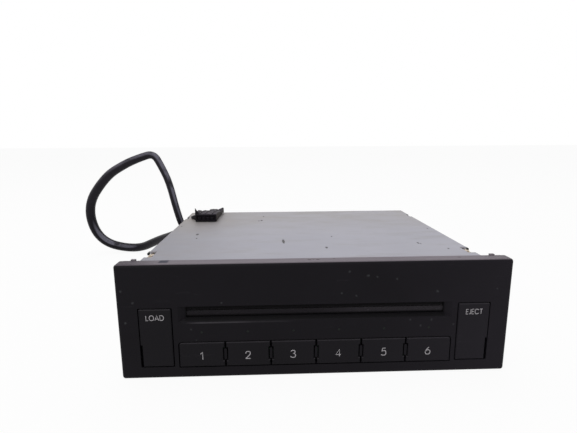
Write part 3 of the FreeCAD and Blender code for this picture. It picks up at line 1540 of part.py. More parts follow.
def elevator():
    """Cross-shaft, its two pinions, the worm gear, the worm and the motor."""
    reach = s.deck_wall_inner + s.deck_wall
    finish(rod("x", -reach, s.shaft_depth, s.shaft_level, s.shaft_radius, reach * 2), "elevator_shaft")
    pinions = []
    for side in HALVES:
        start = s.cam_inner if side > 0 else -s.cam_inner - s.cam_sheet
        place = (start, s.shaft_depth, s.shaft_level)
        pinion = gear("pinion", "x", place, s.pinion_radius, s.pinion_teeth, s.cam_sheet,
                      s.shaft_radius, 90)
        pinions.append(pinion)
    finish(group(*pinions), "elevator_pinions")
    start = -s.worm_across - s.worm_gear_width / 2
    place = (start, s.shaft_depth, s.shaft_level)
    set_down(gear("elevator_gear", "x", place, s.worm_gear_radius, s.worm_gear_teeth,
                  s.worm_gear_width, s.shaft_radius, 90 + 180 / SIZES["worm_gear_teeth"]),
             "elevator_gear", place)
    level = s.shaft_level + s.worm_gear_radius + s.worm_radius
    module = s.worm_gear_radius * 2 / s.worm_gear_teeth
    pitch = module * math.pi
    front = s.shaft_depth - s.worm_length / 2
    long = s.worm_length + s.worm_neck
    core = rod("y", -s.worm_across, front, level, s.worm_radius - module * WORM_CORE, long)
    thread = doc.addObject("Part::Feature", "Thread")
    thread.Shape = worm_thread(pitch.number, module.number)
    put(thread, -s.worm_across, s.shaft_depth - pitch * WORM_TURNS / 2, level,
        FreeCAD.Rotation(FreeCAD.Vector(0, 0, -1), FreeCAD.Vector(-1, 0, 0),
                         FreeCAD.Vector(0, 1, 0), "ZXY"))
    finish(fuse(core, thread), "elevator_worm")
    back = front + long + s.clearance
    can = rod("y", -s.worm_across, back, level, s.small_motor_radius, s.small_motor_length)
    half = s.small_motor_radius / 2
    saddle = block((-s.worm_across - half, -s.worm_across + half), (back, back + s.small_motor_length),
                   (DECK_TOP, level - half))
    finish(fuse(can, saddle), "elevator_motor")


# --- Traverse ----------------------------------------------------------------------------

SWING = ((s.pivot_across * s.pivot_across)
         + (s.disc_depth - s.pivot_depth) * (s.disc_depth - s.pivot_depth)).root()
SPINDLE = (-s.pivot_across, s.pivot_depth + SWING)
ARM_TOP = s.arm_low + s.arm_sheet
ROD_FRONT = SPINDLE[1] - s.rod_stop - s.rod_length


def traverse_arm():
    """The swing arm: pivot boss, neck, floor with one flange, rod carriers and clamp posts."""
    piece = Body("traverse_arm")
    x = -s.pivot_across
    piece.pad("z", s.arm_low, s.arm_sheet, (x, s.pivot_depth, s.pivot_boss))
    shoulder = s.pivot_depth + s.arm_shoulder
    slope = s.arm_slope
    half = s.arm_half
    piece.pad("z", s.arm_low, s.arm_sheet, [
        (x - half, shoulder - slope), (x - half, SPINDLE[1]), (x + half, SPINDLE[1]), (x + half, shoulder),
        (x + s.arm_neck, shoulder - slope), (x + s.arm_neck, s.pivot_depth),
        (x - s.arm_neck, s.pivot_depth), (x - s.arm_neck, shoulder - slope * 2)])
    piece.pad("z", s.arm_low, s.arm_sheet, (*SPINDLE, s.arm_half))
    window = (ROD_FRONT + s.arm_sheet, SPINDLE[1] - s.spindle_motor_radius - s.arm_window_gap)
    piece.pocket("z", s.arm_low, s.arm_sheet, box_outline(
        (x - s.arm_window_half, x + s.arm_window_half), window, s.arm_window_round))
    piece.pad("z", ARM_TOP, s.arm_flange, box_outline(
        (x - half, x - half + s.arm_sheet), (shoulder - slope, SPINDLE[1])))
    for depth in (ROD_FRONT - s.rod_carrier, ROD_FRONT + s.rod_length):
        for side in HALVES:
            spot = x + side * s.rod_spread
            piece.pad("z", ARM_TOP, s.rod_level + s.rod_radius + s.carrier_wall - ARM_TOP, box_outline(
                (spot - s.rod_radius - s.carrier_wall, spot + s.rod_radius + s.carrier_wall),
                (depth, depth + s.rod_carrier)))
    piece.pad("z", ARM_TOP, s.clamp_level - ARM_TOP - s.hub_drop, (x, s.pivot_depth, s.pivot_boss))
    floor = (s.clamp_hinge - s.post_half, shoulder + s.arm_sheet)
    piece.pad("z", s.arm_low, s.arm_sheet, box_outline((x + s.arm_neck - s.arm_sheet, x + half), floor))
    for low in (x - half, x + half - s.arm_sheet):
        piece.pad("z", s.arm_low, s.clamp_level + s.post_half - s.arm_low, box_outline(
            (low, low + s.arm_sheet), (s.clamp_hinge - s.post_half, s.clamp_hinge + s.post_half)))
    piece.pocket("z", s.arm_low, s.clamp_level - s.arm_low,
                 (x, s.pivot_depth, s.pivot_radius + s.running_gap))
    finish(piece.body, "traverse_arm")


def spindle_group():
    """Spindle motor, and the turntable with its centring hub."""
    top = s.disc_level
    can = rod("z", *SPINDLE, ARM_TOP, s.spindle_motor_radius, s.spindle_motor_height)
    finish(can, "spindle_motor")
    base = rod("z", *SPINDLE, top - s.turntable_height, s.turntable_radius, s.turntable_height)
    hub = cone("z", *SPINDLE, top, s.hub_radius, s.hub_radius - s.hub_taper, s.hub_height)
    stem = rod("z", *SPINDLE, ARM_TOP + s.spindle_motor_height + s.switch_gap, s.spindle_radius,
               s.turntable_height)
    finish(fuse(base, hub, stem), "turntable")


SLED = SPINDLE[1] - s.sled_inner


def pickup():
    """Optical sled on two rods with its lens, and the lead screw and motor that move it."""
    x = -s.pivot_across
    y = (SLED - s.sled_length / 2, SLED + s.sled_length / 2)
    top = s.sled_low + s.sled_height
    body = block((x - s.sled_half, x + s.sled_half), y, (s.sled_low, top))
    bores = [rod("y", x + side * s.rod_spread, y[0], s.rod_level, s.rod_radius + s.running_gap,
                 s.sled_length) for side in HALVES]
    screw = rod("y", x - s.screw_offset, y[0], s.rod_level, s.screw_radius + s.clearance, s.sled_length)
    seat = top - s.lens_seat
    well = rod("z", x + s.lens_across, SLED, seat, s.lens_radius + s.lens_gap, s.lens_seat)
    finish(cut(body, *bores, screw, well), "pickup_sled")
    finish(rod("z", x + s.lens_across, SLED, seat, s.lens_radius, s.lens_seat + s.lens_height),
           "pickup_lens")
    rods = [rod("y", x + side * s.rod_spread, ROD_FRONT, s.rod_level, s.rod_radius, s.rod_length)
            for side in HALVES]
    finish(group(*rods), "guide_rods")
    motor_back = ROD_FRONT - s.clearance
    finish(rod("y", x - s.screw_offset, motor_back, s.rod_level, s.screw_radius,
               s.rod_length - s.rod_carrier / 2), "lead_screw")
    can = rod("y", x - s.screw_offset, motor_back - s.clearance - s.sled_motor_length,
              s.rod_level, s.sled_motor_radius, s.sled_motor_length)
    finish(can, "sled_motor")


def clamp():
    """The clamp lever over the arm and the puck that holds a disc on the turntable."""
    x = -s.pivot_across
    tube_half = s.arm_half - s.arm_sheet - s.running_gap
    barrel = rod("x", x - tube_half, s.clamp_hinge, s.clamp_level, s.clamp_barrel, tube_half * 2)
    plate = block((x - s.clamp_half, x + s.clamp_half), (s.clamp_hinge, SPINDLE[1] + s.clamp_half),
                  (s.clamp_level - s.clamp_sheet / 2, s.clamp_level + s.clamp_sheet / 2))
    hole = rod("z", *SPINDLE, s.clamp_level - s.clamp_sheet / 2, s.clamp_hole, s.clamp_sheet)
    window = block((x - s.clamp_half / 2, x + s.clamp_half / 2),
                   (s.clamp_hinge + s.clamp_half * 2, SPINDLE[1] - s.clamp_half * 2),
                   (s.clamp_level - s.clamp_sheet / 2, s.clamp_level + s.clamp_sheet / 2))
    finish(cut(fuse(barrel, plate), hole, window), "clamp_arm")
    low = s.disc_level + s.disc_thickness + s.clamp_open
    puck = rod("z", *SPINDLE, low, s.clamp_radius, s.clamp_height)
    hollow = rod("z", *SPINDLE, low, s.hub_radius + s.puck_gap, s.puck_hollow)
    cap_low = s.clamp_level + s.clamp_sheet / 2 + s.clearance
    neck = rod("z", *SPINDLE, low + s.clamp_height, s.clamp_hole - s.clearance,
               cap_low - low - s.clamp_height)
    cap = rod("z", *SPINDLE, cap_low, s.cap_radius, s.cap_height)
    finish(fuse(cut(puck, hollow), neck, cap), "disc_clamp")


BOARD_FRONT = s.fascia_depth - s.board_back_gap - s.board_thickness
fascia()
side_button("load_button", -1)
side_button("eject_button", 1)
for number in KEYS:
    preset_key(number + 1)
light_guides()
slot_curtain()
front_circuit_board()
tact_switches()
front_frame()
lower_chassis()
top_cover()
rear_panel()
case_screws()
corner_brackets()
rear_socket()
lead_plug()
cord("harness_lead", LEAD, s.lead_radius)
cord("connector_wires", WIRES, s.wires_radius)
harness_connector()
main_circuit_board()
board_screws()
deck_base()
dampers()
suspension_springs()
loading_gears()
roller_shaft()
feed_roller()
roller_bracket()
disc_guide()
feed_motor()
for number in TRAYS:
    disc_tray(number)
cam_slide("left_cam_slide", -1)
cam_slide("right_cam_slide", 1)
elevator()
traverse_arm()
spindle_group()
pickup()
clamp()

doc.recompute()
for thing in doc.Objects:
    if set(thing.State) & {"Invalid", "Error"}:
        raise RuntimeError("%s (%s) did not compute: %s" % (thing.Name, thing.Label, thing.State))
os.makedirs("parts", exist_ok=True)
for thing in finished:
    shape = thing.Shape
    if shape.isNull() or not shape.isValid():
        raise RuntimeError(thing.Label + " is not a valid shape")
    shape.exportStep("parts/%s.step" % thing.Label)
    print("%-22s %8.1f mm3, %d solid(s)" % (thing.Label, shape.Volume, len(shape.Solids)))
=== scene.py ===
import itertools
import json
import math

import bmesh
import bpy
from mathutils import Matrix, Vector
from mathutils.bvhtree import BVHTree


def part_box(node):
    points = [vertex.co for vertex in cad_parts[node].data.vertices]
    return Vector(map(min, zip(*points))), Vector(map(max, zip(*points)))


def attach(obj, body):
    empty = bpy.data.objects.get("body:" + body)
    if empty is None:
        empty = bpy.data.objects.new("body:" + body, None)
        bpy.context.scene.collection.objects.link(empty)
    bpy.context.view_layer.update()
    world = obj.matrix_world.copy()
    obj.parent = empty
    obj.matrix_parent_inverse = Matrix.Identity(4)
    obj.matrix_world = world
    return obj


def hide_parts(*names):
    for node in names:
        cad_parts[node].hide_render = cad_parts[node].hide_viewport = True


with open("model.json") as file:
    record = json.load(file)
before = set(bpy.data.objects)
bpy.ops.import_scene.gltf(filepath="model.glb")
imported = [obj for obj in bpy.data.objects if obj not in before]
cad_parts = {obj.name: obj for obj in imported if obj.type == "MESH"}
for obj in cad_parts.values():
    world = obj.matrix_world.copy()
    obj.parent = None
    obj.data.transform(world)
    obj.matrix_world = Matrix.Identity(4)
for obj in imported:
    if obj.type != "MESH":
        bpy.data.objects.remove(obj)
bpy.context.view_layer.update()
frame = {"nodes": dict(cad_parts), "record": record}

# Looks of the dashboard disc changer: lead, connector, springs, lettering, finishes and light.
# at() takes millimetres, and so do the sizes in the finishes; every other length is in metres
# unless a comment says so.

MM = 0.001
PRESETS = TRAYS = range(1, 7)
nodes = frame["nodes"]
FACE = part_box("fascia")[0][1]


def at(across, depth, level):
    """A place in metres from millimetres: across, behind the fascia's face, above its lower edge."""
    return Vector((across * MM, FACE + depth * MM, level * MM))


def places(spots):
    """Places in metres from a list of places in millimetres."""
    return [at(*spot) for spot in spots]


# --- Camera -----------------------------------------------------------------------------

EYE = at(-19.76, -182.55, 115.42)
EYE_TURN, EYE_DROP, EYE_ROLL = (math.radians(angle) for angle in (-2.032, 10.855, -0.321))
EYE_LENS = 25.24
EYE_SENSOR = 36
EYE_NEAREST = 0.01


def camera():
    """The eye, from its place, turn, drop and roll."""
    eye = bpy.data.objects.new("eye", bpy.data.cameras.new("eye"))
    bpy.context.scene.collection.objects.link(eye)
    eye.data.lens = EYE_LENS
    eye.data.sensor_width = EYE_SENSOR
    eye.data.clip_start = EYE_NEAREST
    eye.matrix_world = (Matrix.Translation(EYE) @ Matrix.Rotation(EYE_TURN, 4, "Z")
                        @ Matrix.Rotation(math.pi / 2 - EYE_DROP, 4, "X")
                        @ Matrix.Rotation(EYE_ROLL, 4, "Z"))
    bpy.context.scene.camera = eye
    bpy.context.scene.view_settings.view_transform = "Standard"


# --- Shader arithmetic ------------------------------------------------------------------

SOFT_EDGE = 0.02
# A speck's soft edge, as shares of its width.
SPECK_EDGE = (0.3, 0.6)
# The Mix node's sockets for colours: the factor, the first colour and the second.
MIX_SOCKETS = (0, 6, 7)
MIX_RESULT = 2


class Value:
    """A socket that can stand in a sum; each step adds its Math node."""

    def __init__(self, finish, socket):
        self.finish, self.socket = finish, socket

    def math(self, operation, *others):
        """One Math node, with this value first."""
        return self.finish.node("Math", {"operation": operation}, self, *others)

    def __add__(self, other):
        return self.math("ADD", other)

    def __sub__(self, other):
        return self.math("SUBTRACT", other)

    def __rsub__(self, other):
        return self.finish.node("Math", {"operation": "SUBTRACT"}, other, self)

    def __mul__(self, other):
        return self.math("MULTIPLY", other)

    __radd__ = __add__
    __rmul__ = __mul__

    def above(self, low, high=None):
        """0 under low, 1 over high, smooth between them."""
        high = low + SOFT_EDGE if high is None else high
        return self.finish.node("MapRange", {"interpolation_type": "SMOOTHSTEP"}, self, low, high, 0.0, 1.0)

    def within(self, start, end):
        """1 between two soft edges, each given as the two values that it lies between."""
        return self.above(*start) * (1 - self.above(*end))

    def most(self, other):
        """The larger of two values."""
        return self.math("MAXIMUM", other)

    def size(self):
        """The value without its sign."""
        return self.math("ABSOLUTE")


class Finish:
    """A material under construction, measured in millimetres on the piece itself."""

    def __init__(self, name, **constants):
        self.material = bpy.data.materials.new(name)
        self.material.use_nodes = True
        self.tree = self.material.node_tree
        self.shader = self.tree.nodes["Principled BSDF"]
        for socket, value in constants.items():
            self.shader.inputs[socket.replace("_", " ")].default_value = value
        self.heights = []

    def feed(self, socket, value):
        """Give a socket a value, a colour or a number."""
        if isinstance(value, Value):
            self.tree.links.new(value.socket, socket)
        elif isinstance(value, tuple) and len(socket.default_value) == 4:
            socket.default_value = (*value, 1)
        else:
            socket.default_value = value

    def node(self, kind, settings, *inputs, output=0, **named):
        """Any node: its settings first, then its sockets in order or by name."""
        made = self.tree.nodes.new("ShaderNode" + kind)
        for setting, value in settings.items():
            setattr(made, setting, value)
        for place, value in enumerate(inputs):
            self.feed(made.inputs[place], value)
        for key, value in named.items():
            self.feed(made.inputs[key.replace("_", " ")], value)
        return Value(self, made.outputs[output])

    def place(self, stretch=(1, 1, 1)):
        """Where a point lies on the piece, in millimetres, stretched for a texture."""
        spot = self.node("TexCoord", {}, output="Object")
        scale = tuple(1 / (MM * each) for each in stretch)
        return self.node("VectorMath", {"operation": "MULTIPLY"}, spot, scale)

    def axis(self, which):
        """One coordinate of the place, in millimetres."""
        return self.node("SeparateXYZ", {}, self.place(), output=which.upper())

    def facing(self, which):
        """How much the surface looks along an axis."""
        normal = self.node("NewGeometry", {}, output="Normal")
        return self.node("SeparateXYZ", {}, normal, output=which.upper())

    def towards(self, direction):
        """How much the surface looks in a direction."""
        normal = self.node("NewGeometry", {}, output="Normal")
        return self.node("VectorMath", {"operation": "DOT_PRODUCT"}, normal, direction, output="Value")

    def cloud(self, size, detail=3.0, rough=0.5, stretch=(1, 1, 1)):
        """Soft noise whose blotches are about as wide as size."""
        return self.node("TexNoise", {}, Vector=self.place(stretch), Scale=1 / size, Detail=detail,
                         Roughness=rough)

    def specks(self, spacing, width, stretch=(1, 1, 1)):
        """Scattered dots of about the given width, 1 inside."""
        near = self.node("TexVoronoi", {}, Vector=self.place(stretch), Scale=1 / spacing)
        start, end = (width / spacing * share for share in SPECK_EDGE)
        return 1 - near.above(start, end)

    def mix(self, factor, first, second):
        """One colour over another."""
        made = self.tree.nodes.new("ShaderNodeMix")
        made.data_type = "RGBA"
        for place, value in zip(MIX_SOCKETS, (factor, first, second)):
            self.feed(made.inputs[place], value)
        return Value(self, made.outputs[MIX_RESULT])

    def set(self, socket, value):
        """Feed one of the shader's own sockets."""
        self.tree.links.new(value.socket, self.shader.inputs[socket])
        return self

    def paint(self, colour, *coats):
        """Lay coats over a colour, each as its share and its own colour: that is the base colour."""
        for share, tint in coats:
            colour = self.mix(share, colour, tint)
        return self.set("Base Color", colour)

    def raise_by(self, height, distance):
        """Add relief: a height of 0 to 1 that stands for a distance in millimetres."""
        self.heights.append(height * distance)
        return self

    def done(self):
        """Turn the relief into a bump and hand over the material."""
        height = sum(self.heights[1:], self.heights[0])
        self.set("Normal", self.node("Bump", {}, Height=height, Strength=1.0, Distance=MM))
        return self.material


def grey(level, warm=0.0):
    """A near-neutral linear colour; warm above 0 leans to brown, below 0 to blue."""
    return level * (1 + warm), level, level * (1 - warm)


# --- Finishes ---------------------------------------------------------------------------

def black_moulding(name, tone, dusty):
    """Satin black plastic with a spark-eroded grain, dust and fine rubbed marks."""
    finish = Finish(name, Specular_IOR_Level=0.09)
    blotch = finish.cloud(34, 4)
    rubbed = finish.cloud(3.2, 5, 0.7, (6, 1, 1)).above(0.6, 0.74) * finish.cloud(26, 2).above(0.5, 0.62)
    flecks = finish.specks(7.5, 0.34) * finish.cloud(19, 2).above(0.52, 0.6)
    dust_and_highlight = finish.facing("z").above(0.2, 0.9) * (0.35 + 0.5 * finish.cloud(6, 4))
    haze = finish.axis("x").above(10, 90)
    dark, pale = (tone, tone * 0.86, tone * 1.1), (tone * 1.9, tone * 1.65, tone * 2.2)
    finish.paint(
        finish.mix(blotch, dark, pale),
        (haze * 0.14, (0.042, 0.036, 0.050)),
        (rubbed * (0.12 * dusty), (0.085, 0.078, 0.092)),
        (flecks * (0.4 * dusty), (0.11, 0.12, 0.115)),
        (dust_and_highlight * (0.45 * dusty), (0.09, 0.082, 0.094)))
    finish.set("Roughness", 0.44 + 0.14 * blotch - 0.10 * rubbed)
    finish.raise_by(finish.cloud(0.35, 2), 0.018)
    return finish.done()


# How uneven a chip's outline is, how wide its teeth are and its soft edge, in millimetres.
CHIP_UNEVEN, CHIP_TEETH, CHIP_EDGE = 1.2, 1.1, 0.7


def chips(finish, marks, stretch=(1, 1, 1)):
    """Small ragged spots, 1 inside: each is a place in metres and a half width in millimetres."""
    spot = finish.place(stretch)
    ragged = CHIP_UNEVEN * finish.cloud(CHIP_TEETH, 3)
    shown = finish.specks(spacing=50, width=0.2)
    for place, size in marks:
        centre = tuple(along / MM / each for along, each in zip(place, stretch))
        away = finish.node("VectorMath", {"operation": "DISTANCE"}, spot, centre, output="Value")
        shown = shown.most(1 - (away + ragged).above(size, size + CHIP_EDGE))
    return shown


# Across, level and half width of the pale nicks on the fascia, in millimetres.
FACE_MARKS = [
    (15.6, 53.4, 0.75), (24.7, 51.3, 0.85), (29.0, 50.4, 0.7), (38.7, 49.3, 0.7), (58.6, 42.6, 0.8),
    (12.0, 42.6, 0.65), (19.2, 41.2, 0.65), (-87.3, 39.5, 0.7), (-91.4, 29.6, 0.75), (-92.4, 45.5, 0.7),
    (83.8, 35.9, 0.6), (56.6, 28.1, 0.7), (46.1, 28.4, 0.6), (51.3, 25.1, 0.65), (67.7, 25.4, 0.6),
    (-45.5, 38.9, 0.6), (88.0, 43.5, 0.6), (-60.5, 25.5, 0.6),
]
# Across, depth and half width of the scratches on the fascia's upper side, in millimetres.
SHELF_MARKS = [(-3.2, 4.2, 1.2), (-1.2, 4.9, 0.9), (0.8, 4.2, 1.2), (8.9, 5.6, 0.8), (70.2, 4.6, 1.0)]
# How far the hooks rise over that side, and the side's own level.
HOOK_RISE = 0.5
SHELF_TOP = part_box("fascia")[1][2] / MM - HOOK_RISE
# Zones of the fascia in millimetres; each pair is a soft edge, and two pairs bound a zone.
FACE_EDGE = (FACE / MM + 0.3, FACE / MM + 0.6)
SLOT_LEVELS, SLOT_ENDS = ((25, 29), (38, 40)), (62, 70)
TUNNEL_LEVELS, TUNNEL_ENDS = ((27, 28), (38, 39)), (63, 64)
SILL_LEVELS, SILL_LEFT = ((28.4, 28.7), (29.1, 29.4)), (-65, -56)
SILL_FADES, SILL_RIGHT = (-40, -30), (-22, -8)
LINT_ACROSS, LINT_LEVELS = ((24, 40), (66, 72)), ((21, 27), (32, 34))
SHELF_LEVEL, SHELF_LEFT, SHELF_RIGHT = (50, 56), (-93, -72), (78, 92)
DARK_PATCH_ACROSS, DARK_PATCH_DEPTH = ((-75.6, -74.4), (-71.2, -70)), (FACE / MM + 2.2, FACE / MM + 3.2)
HOOKS_LEVEL = (58.32, 58.4)


def face_coats(finish, across, level, front, blotch, rubbed, nicks, scars):
    """Haze, rubbed marks, nicks and lint on the fascia's front."""
    haze = across.above(20, 90)
    slot = level.within(*SLOT_LEVELS) * (1 - across.size().above(*SLOT_ENDS))
    right = across.within(*LINT_ACROSS) * level.within(*LINT_LEVELS)
    lint = finish.specks(2.2, 0.2) * (slot + right).most(0.12)
    return [
        (haze * (0.06 + 0.10 * blotch), (0.042, 0.035, 0.050)),
        (rubbed * 0.10, (0.09, 0.08, 0.095)),
        (nicks * front * 0.45, (0.12, 0.13, 0.125)),
        (scars * front * (0.12 + 0.3 * finish.cloud(0.8, 3)), (0.09, 0.095, 0.10)),
        (lint * 0.5, (0.11, 0.10, 0.105)),
    ]


def slot_coats(finish, across, level, front):
    """The slot's sill with a painted highlight along it, and painted shade in the dark tunnel behind it."""
    sill = level.within(*SILL_LEVELS) * across.above(*SILL_LEFT)
    wear_and_highlight_fade = (1 - 0.65 * across.above(*SILL_FADES)) * (1 - across.above(*SILL_RIGHT))
    tunnel_shade = (1 - front) * level.within(*TUNNEL_LEVELS) * (1 - across.size().above(*TUNNEL_ENDS))
    return [
        # Painted highlight: a catch light along the sill's edge, strongest at the left.
        (sill * wear_and_highlight_fade * (0.12 + 0.28 * finish.cloud(9, 4)), (0.14, 0.13, 0.145)),
        # Painted shade: the tunnel behind the slot is painted near black.
        (tunnel_shade * 0.75, (0.0014, 0.0011, 0.0016)),
    ]


def shelf_coats(finish, across, level, depth):
    """The fascia's upper side: dust and a painted highlight along it, with darker ends, a dark bluish patch,
    scratches, and the hooks' tops painted pale as painted light.
    """
    dust_and_highlight = finish.facing("z").above(0.7, 0.97) * level.above(*SHELF_LEVEL)
    streaked = finish.cloud(11, 4, 0.6, (2.4, 1, 1))
    ends = 0.85 * (1 - across.above(*SHELF_LEFT)) + 0.3 * across.above(*SHELF_RIGHT)
    dark_bluish_patch = across.within(*DARK_PATCH_ACROSS) * depth.above(*DARK_PATCH_DEPTH)
    scratches = chips(finish, [(at(x, y, SHELF_TOP), size) for x, y, size in SHELF_MARKS], (1, 0.5, 1))
    # Painted highlight: the pale coat on the upper side is partly dust and partly the catch light along its
    # edge, dimmer at the ends and broken by the dark bluish patch; the hooks' tops are painted pale as
    # painted light.
    return [
        (dust_and_highlight * (0.72 + 0.35 * streaked), (0.205, 0.180, 0.205)),
        (dust_and_highlight * ends, (0.060, 0.048, 0.060)),
        (dust_and_highlight * dark_bluish_patch * 0.9, (0.030, 0.029, 0.048)),
        (dust_and_highlight * scratches * 0.95, (0.026, 0.020, 0.022)),
        (level.above(*HOOKS_LEVEL) * 0.9, (0.24, 0.215, 0.235)),
    ]


def slot_moulding():
    """The fascia's plastic, dusty round the disc slot, dusty and painted with a highlight on top, and
    painted with a highlight along the slot's sill.
    """
    finish = Finish("fascia_black", Specular_IOR_Level=0.09)
    across, level, depth = finish.axis("x"), finish.axis("z"), finish.axis("y")
    blotch = finish.cloud(34, 4)
    front = 1 - depth.above(*FACE_EDGE)
    rubbed = finish.cloud(3.0, 5, 0.7, (6, 1, 1)).above(0.6, 0.74) * finish.cloud(26, 2).above(0.48, 0.6)
    nicks = finish.specks(9, 0.42, (1, 1, 1.6)) * finish.cloud(23, 2).above(0.5, 0.58)
    scars = chips(finish, [(at(x, 0, z), size) for x, z, size in FACE_MARKS])
    finish.paint(
        finish.mix(blotch, (0.0036, 0.0028, 0.0042), (0.0080, 0.0068, 0.0094)),
        *face_coats(finish, across, level, front, blotch, rubbed, nicks, scars),
        *slot_coats(finish, across, level, front),
        *shelf_coats(finish, across, level, depth))
    finish.set("Roughness", 0.44 + 0.14 * blotch - 0.08 * rubbed)
    finish.raise_by(finish.cloud(0.35, 2), 0.018)
    finish.raise_by(1 - nicks.most(scars), 0.05)
    return finish.done()


# Across, depth and half width of the dark chips and spots on the cover, in millimetres.
COVER_MARKS = [
    (-14.5, 53.7, 2.0), (-14.4, 50.6, 1.5), (-14.6, 56.8, 1.6), (-69.8, 75.2, 1.9), (-68.4, 64.4, 1.2),
    (9.6, 38.6, 1.6), (64.6, 45.6, 1.5), (65.6, 44.0, 1.0), (-29.5, 118.7, 1.8), (-31.5, 117.2, 1.2),
    (-28.4, 134.7, 1.3), (77.2, 32.7, 1.1), (-85.7, 100.7, 1.2), (16.1, 64.6, 1.1), (84.6, 83.7, 1.1),
]
# The level of the cover's upper side.
COVER_TOP = 54.8
# Soft edges of the painted window reflection on the cover: the greyer parts that it misses lie to the left
# of one and behind the other.
COVER_UNREFLECTED_LEFT, COVER_UNREFLECTED_REAR = (-92, -20), (-18, 60)


def cover_zinc():
    """Zinc-coated cover: a lilac-grey coat with a painted window reflection, bluish where it falls and
    greyer to the left and behind, with dirt, dents and marks.
    """
    finish = Finish("zinc_cover", Metallic=0.25)
    wide = finish.cloud(48, 4, 0.55)
    patch = finish.cloud(15, 5, 0.6, (1.6, 1, 1))
    smear = finish.cloud(9, 5, 0.65, (5, 1.4, 1)).above(0.50, 0.66)
    left, rear = 1 - finish.axis("x").above(*COVER_UNREFLECTED_LEFT), finish.axis("y").above(*COVER_UNREFLECTED_REAR)
    worn_rear = finish.cloud(26, 5, 0.7, (1, 0.6, 1)).above(0.42, 0.66)
    stain = finish.cloud(7, 4, 0.6).above(0.64, 0.78) * wide.above(0.4, 0.6)
    marks = chips(finish, [(at(x, y, COVER_TOP), size) for x, y, size in COVER_MARKS], (0.5, 1.3, 1))
    dots = finish.specks(13, 0.5) * patch.above(0.5, 0.62)
    rims = finish.specks(30, 2.6, (1, 1.6, 1)) * (1 - finish.specks(30, 2.0, (1, 1.6, 1)))
    finish.paint(
        finish.mix(wide, (0.325, 0.321, 0.372), (0.400, 0.394, 0.447)),
        # Painted reflection: the cover is bluish where the window's reflection falls and greyer where it
        # misses, to the left and behind; the patches there are partly dirt.
        (left * 0.95, (0.262, 0.258, 0.292)),
        (rear * (0.4 + 0.4 * patch), (0.335, 0.318, 0.336)),
        (left * rear * (0.7 + 0.4 * patch), (0.268, 0.244, 0.228)),
        (left * (patch * 2 - 0.8).above(0, 1) * 0.7, (0.295, 0.262, 0.250)),
        (rear * worn_rear * 0.55, (0.300, 0.278, 0.272)),
        (smear * 0.42, (0.300, 0.285, 0.300)),
        (stain * 0.35, (0.26, 0.25, 0.26)),
        (marks * 0.95, (0.022, 0.020, 0.022)),
        (dots * 0.6, (0.12, 0.11, 0.11)),
        (rims * 0.2, (0.2, 0.19, 0.2)))
    finish.set("Roughness", 0.44 + 0.16 * patch + 0.1 * stain)
    finish.raise_by(wide, 0.35)
    finish.raise_by(1 - marks, 0.2)
    finish.raise_by(finish.cloud(0.8, 3), 0.008)
    return finish.done()


def rolled_zinc(name, tone, warm=-0.03, brushed=(1, 14, 14)):
    """Bright zinc on rolled sheet: a faint grain, spangle and finger marks."""
    finish = Finish(name, Metallic=0.85)
    grain = finish.cloud(2.4, 4, 0.6, brushed)
    spangle = finish.node("TexVoronoi", {}, Vector=finish.place(), Scale=1 / 5.5)
    dull = finish.cloud(22, 4)
    finish.paint(finish.mix(dull, grey(tone * 0.86, warm), grey(tone * 1.08, warm)),
                 (spangle * 0.12, grey(tone * 1.25, warm)))
    finish.set("Roughness", 0.30 + 0.22 * dull + 0.08 * grain)
    finish.raise_by(grain, 0.006)
    return finish.done()


def turned_steel(name, tone=0.58):
    """Plated fasteners, shafts and rods with fine tool marks."""
    finish = Finish(name, Metallic=1.0)
    rings = finish.cloud(0.6, 3, 0.6, (0.4, 6, 6))
    dull = finish.cloud(5, 3)
    finish.paint(finish.mix(dull, grey(tone, -0.02), grey(tone * 0.72, 0.05)))
    finish.set("Roughness", 0.20 + 0.16 * dull + 0.08 * rings)
    finish.raise_by(rings, 0.004)
    return finish.done()


def yellow_zinc():
    """Yellow-passivated brackets: gold with pink and green bloom, and grime in the corners."""
    finish = Finish("yellow_zinc", Metallic=0.4)
    bloom = finish.cloud(3.0, 4)
    grime = finish.cloud(1.3, 3).above(0.52, 0.60)
    finish.paint(finish.mix(bloom, (0.50, 0.41, 0.30), (0.66, 0.58, 0.50)),
                 (grime * 0.85, (0.09, 0.055, 0.040)))
    finish.set("Roughness", 0.35 + 0.25 * bloom)
    finish.raise_by(bloom, 0.03)
    return finish.done()


# The band of the felt that the light reaches, as two soft edges in millimetres.
FELT_LIT = (31.3, 32.3), (34.1, 34.9)


def felt():
    """Black pile that has picked up grey lint; it is painted lighter in the band the light reaches and
    painted dark as shade outside that band, darkest where its lower edge meets the slot.
    """
    finish = Finish("felt", Specular_IOR_Level=0.05, Sheen_Weight=0.06, Sheen_Roughness=0.6)
    pile = finish.cloud(0.5, 5, 0.75, (0.5, 1, 2.6))
    lint = finish.cloud(1.6, 5, 0.75).above(0.55, 0.68) * finish.cloud(14, 2).above(0.42, 0.58)
    patchy = 0.25 + 0.95 * finish.axis("x").above(-5, 30)
    lit = finish.axis("z").within(*FELT_LIT)
    # Painted light and shade: the pile is lighter, with lint, in the band the light reaches and dark above
    # and below it.
    finish.paint(
        finish.mix(pile * (0.15 + 0.85 * lit), (0.0018, 0.0016, 0.0020), (0.0240, 0.0205, 0.0255)),
        (patchy * lit * (0.10 + 0.26 * lint), (0.150, 0.135, 0.155)))
    finish.set("Roughness", 0.9 + 0.1 * pile)
    finish.raise_by(pile, 0.2)
    return finish.done()


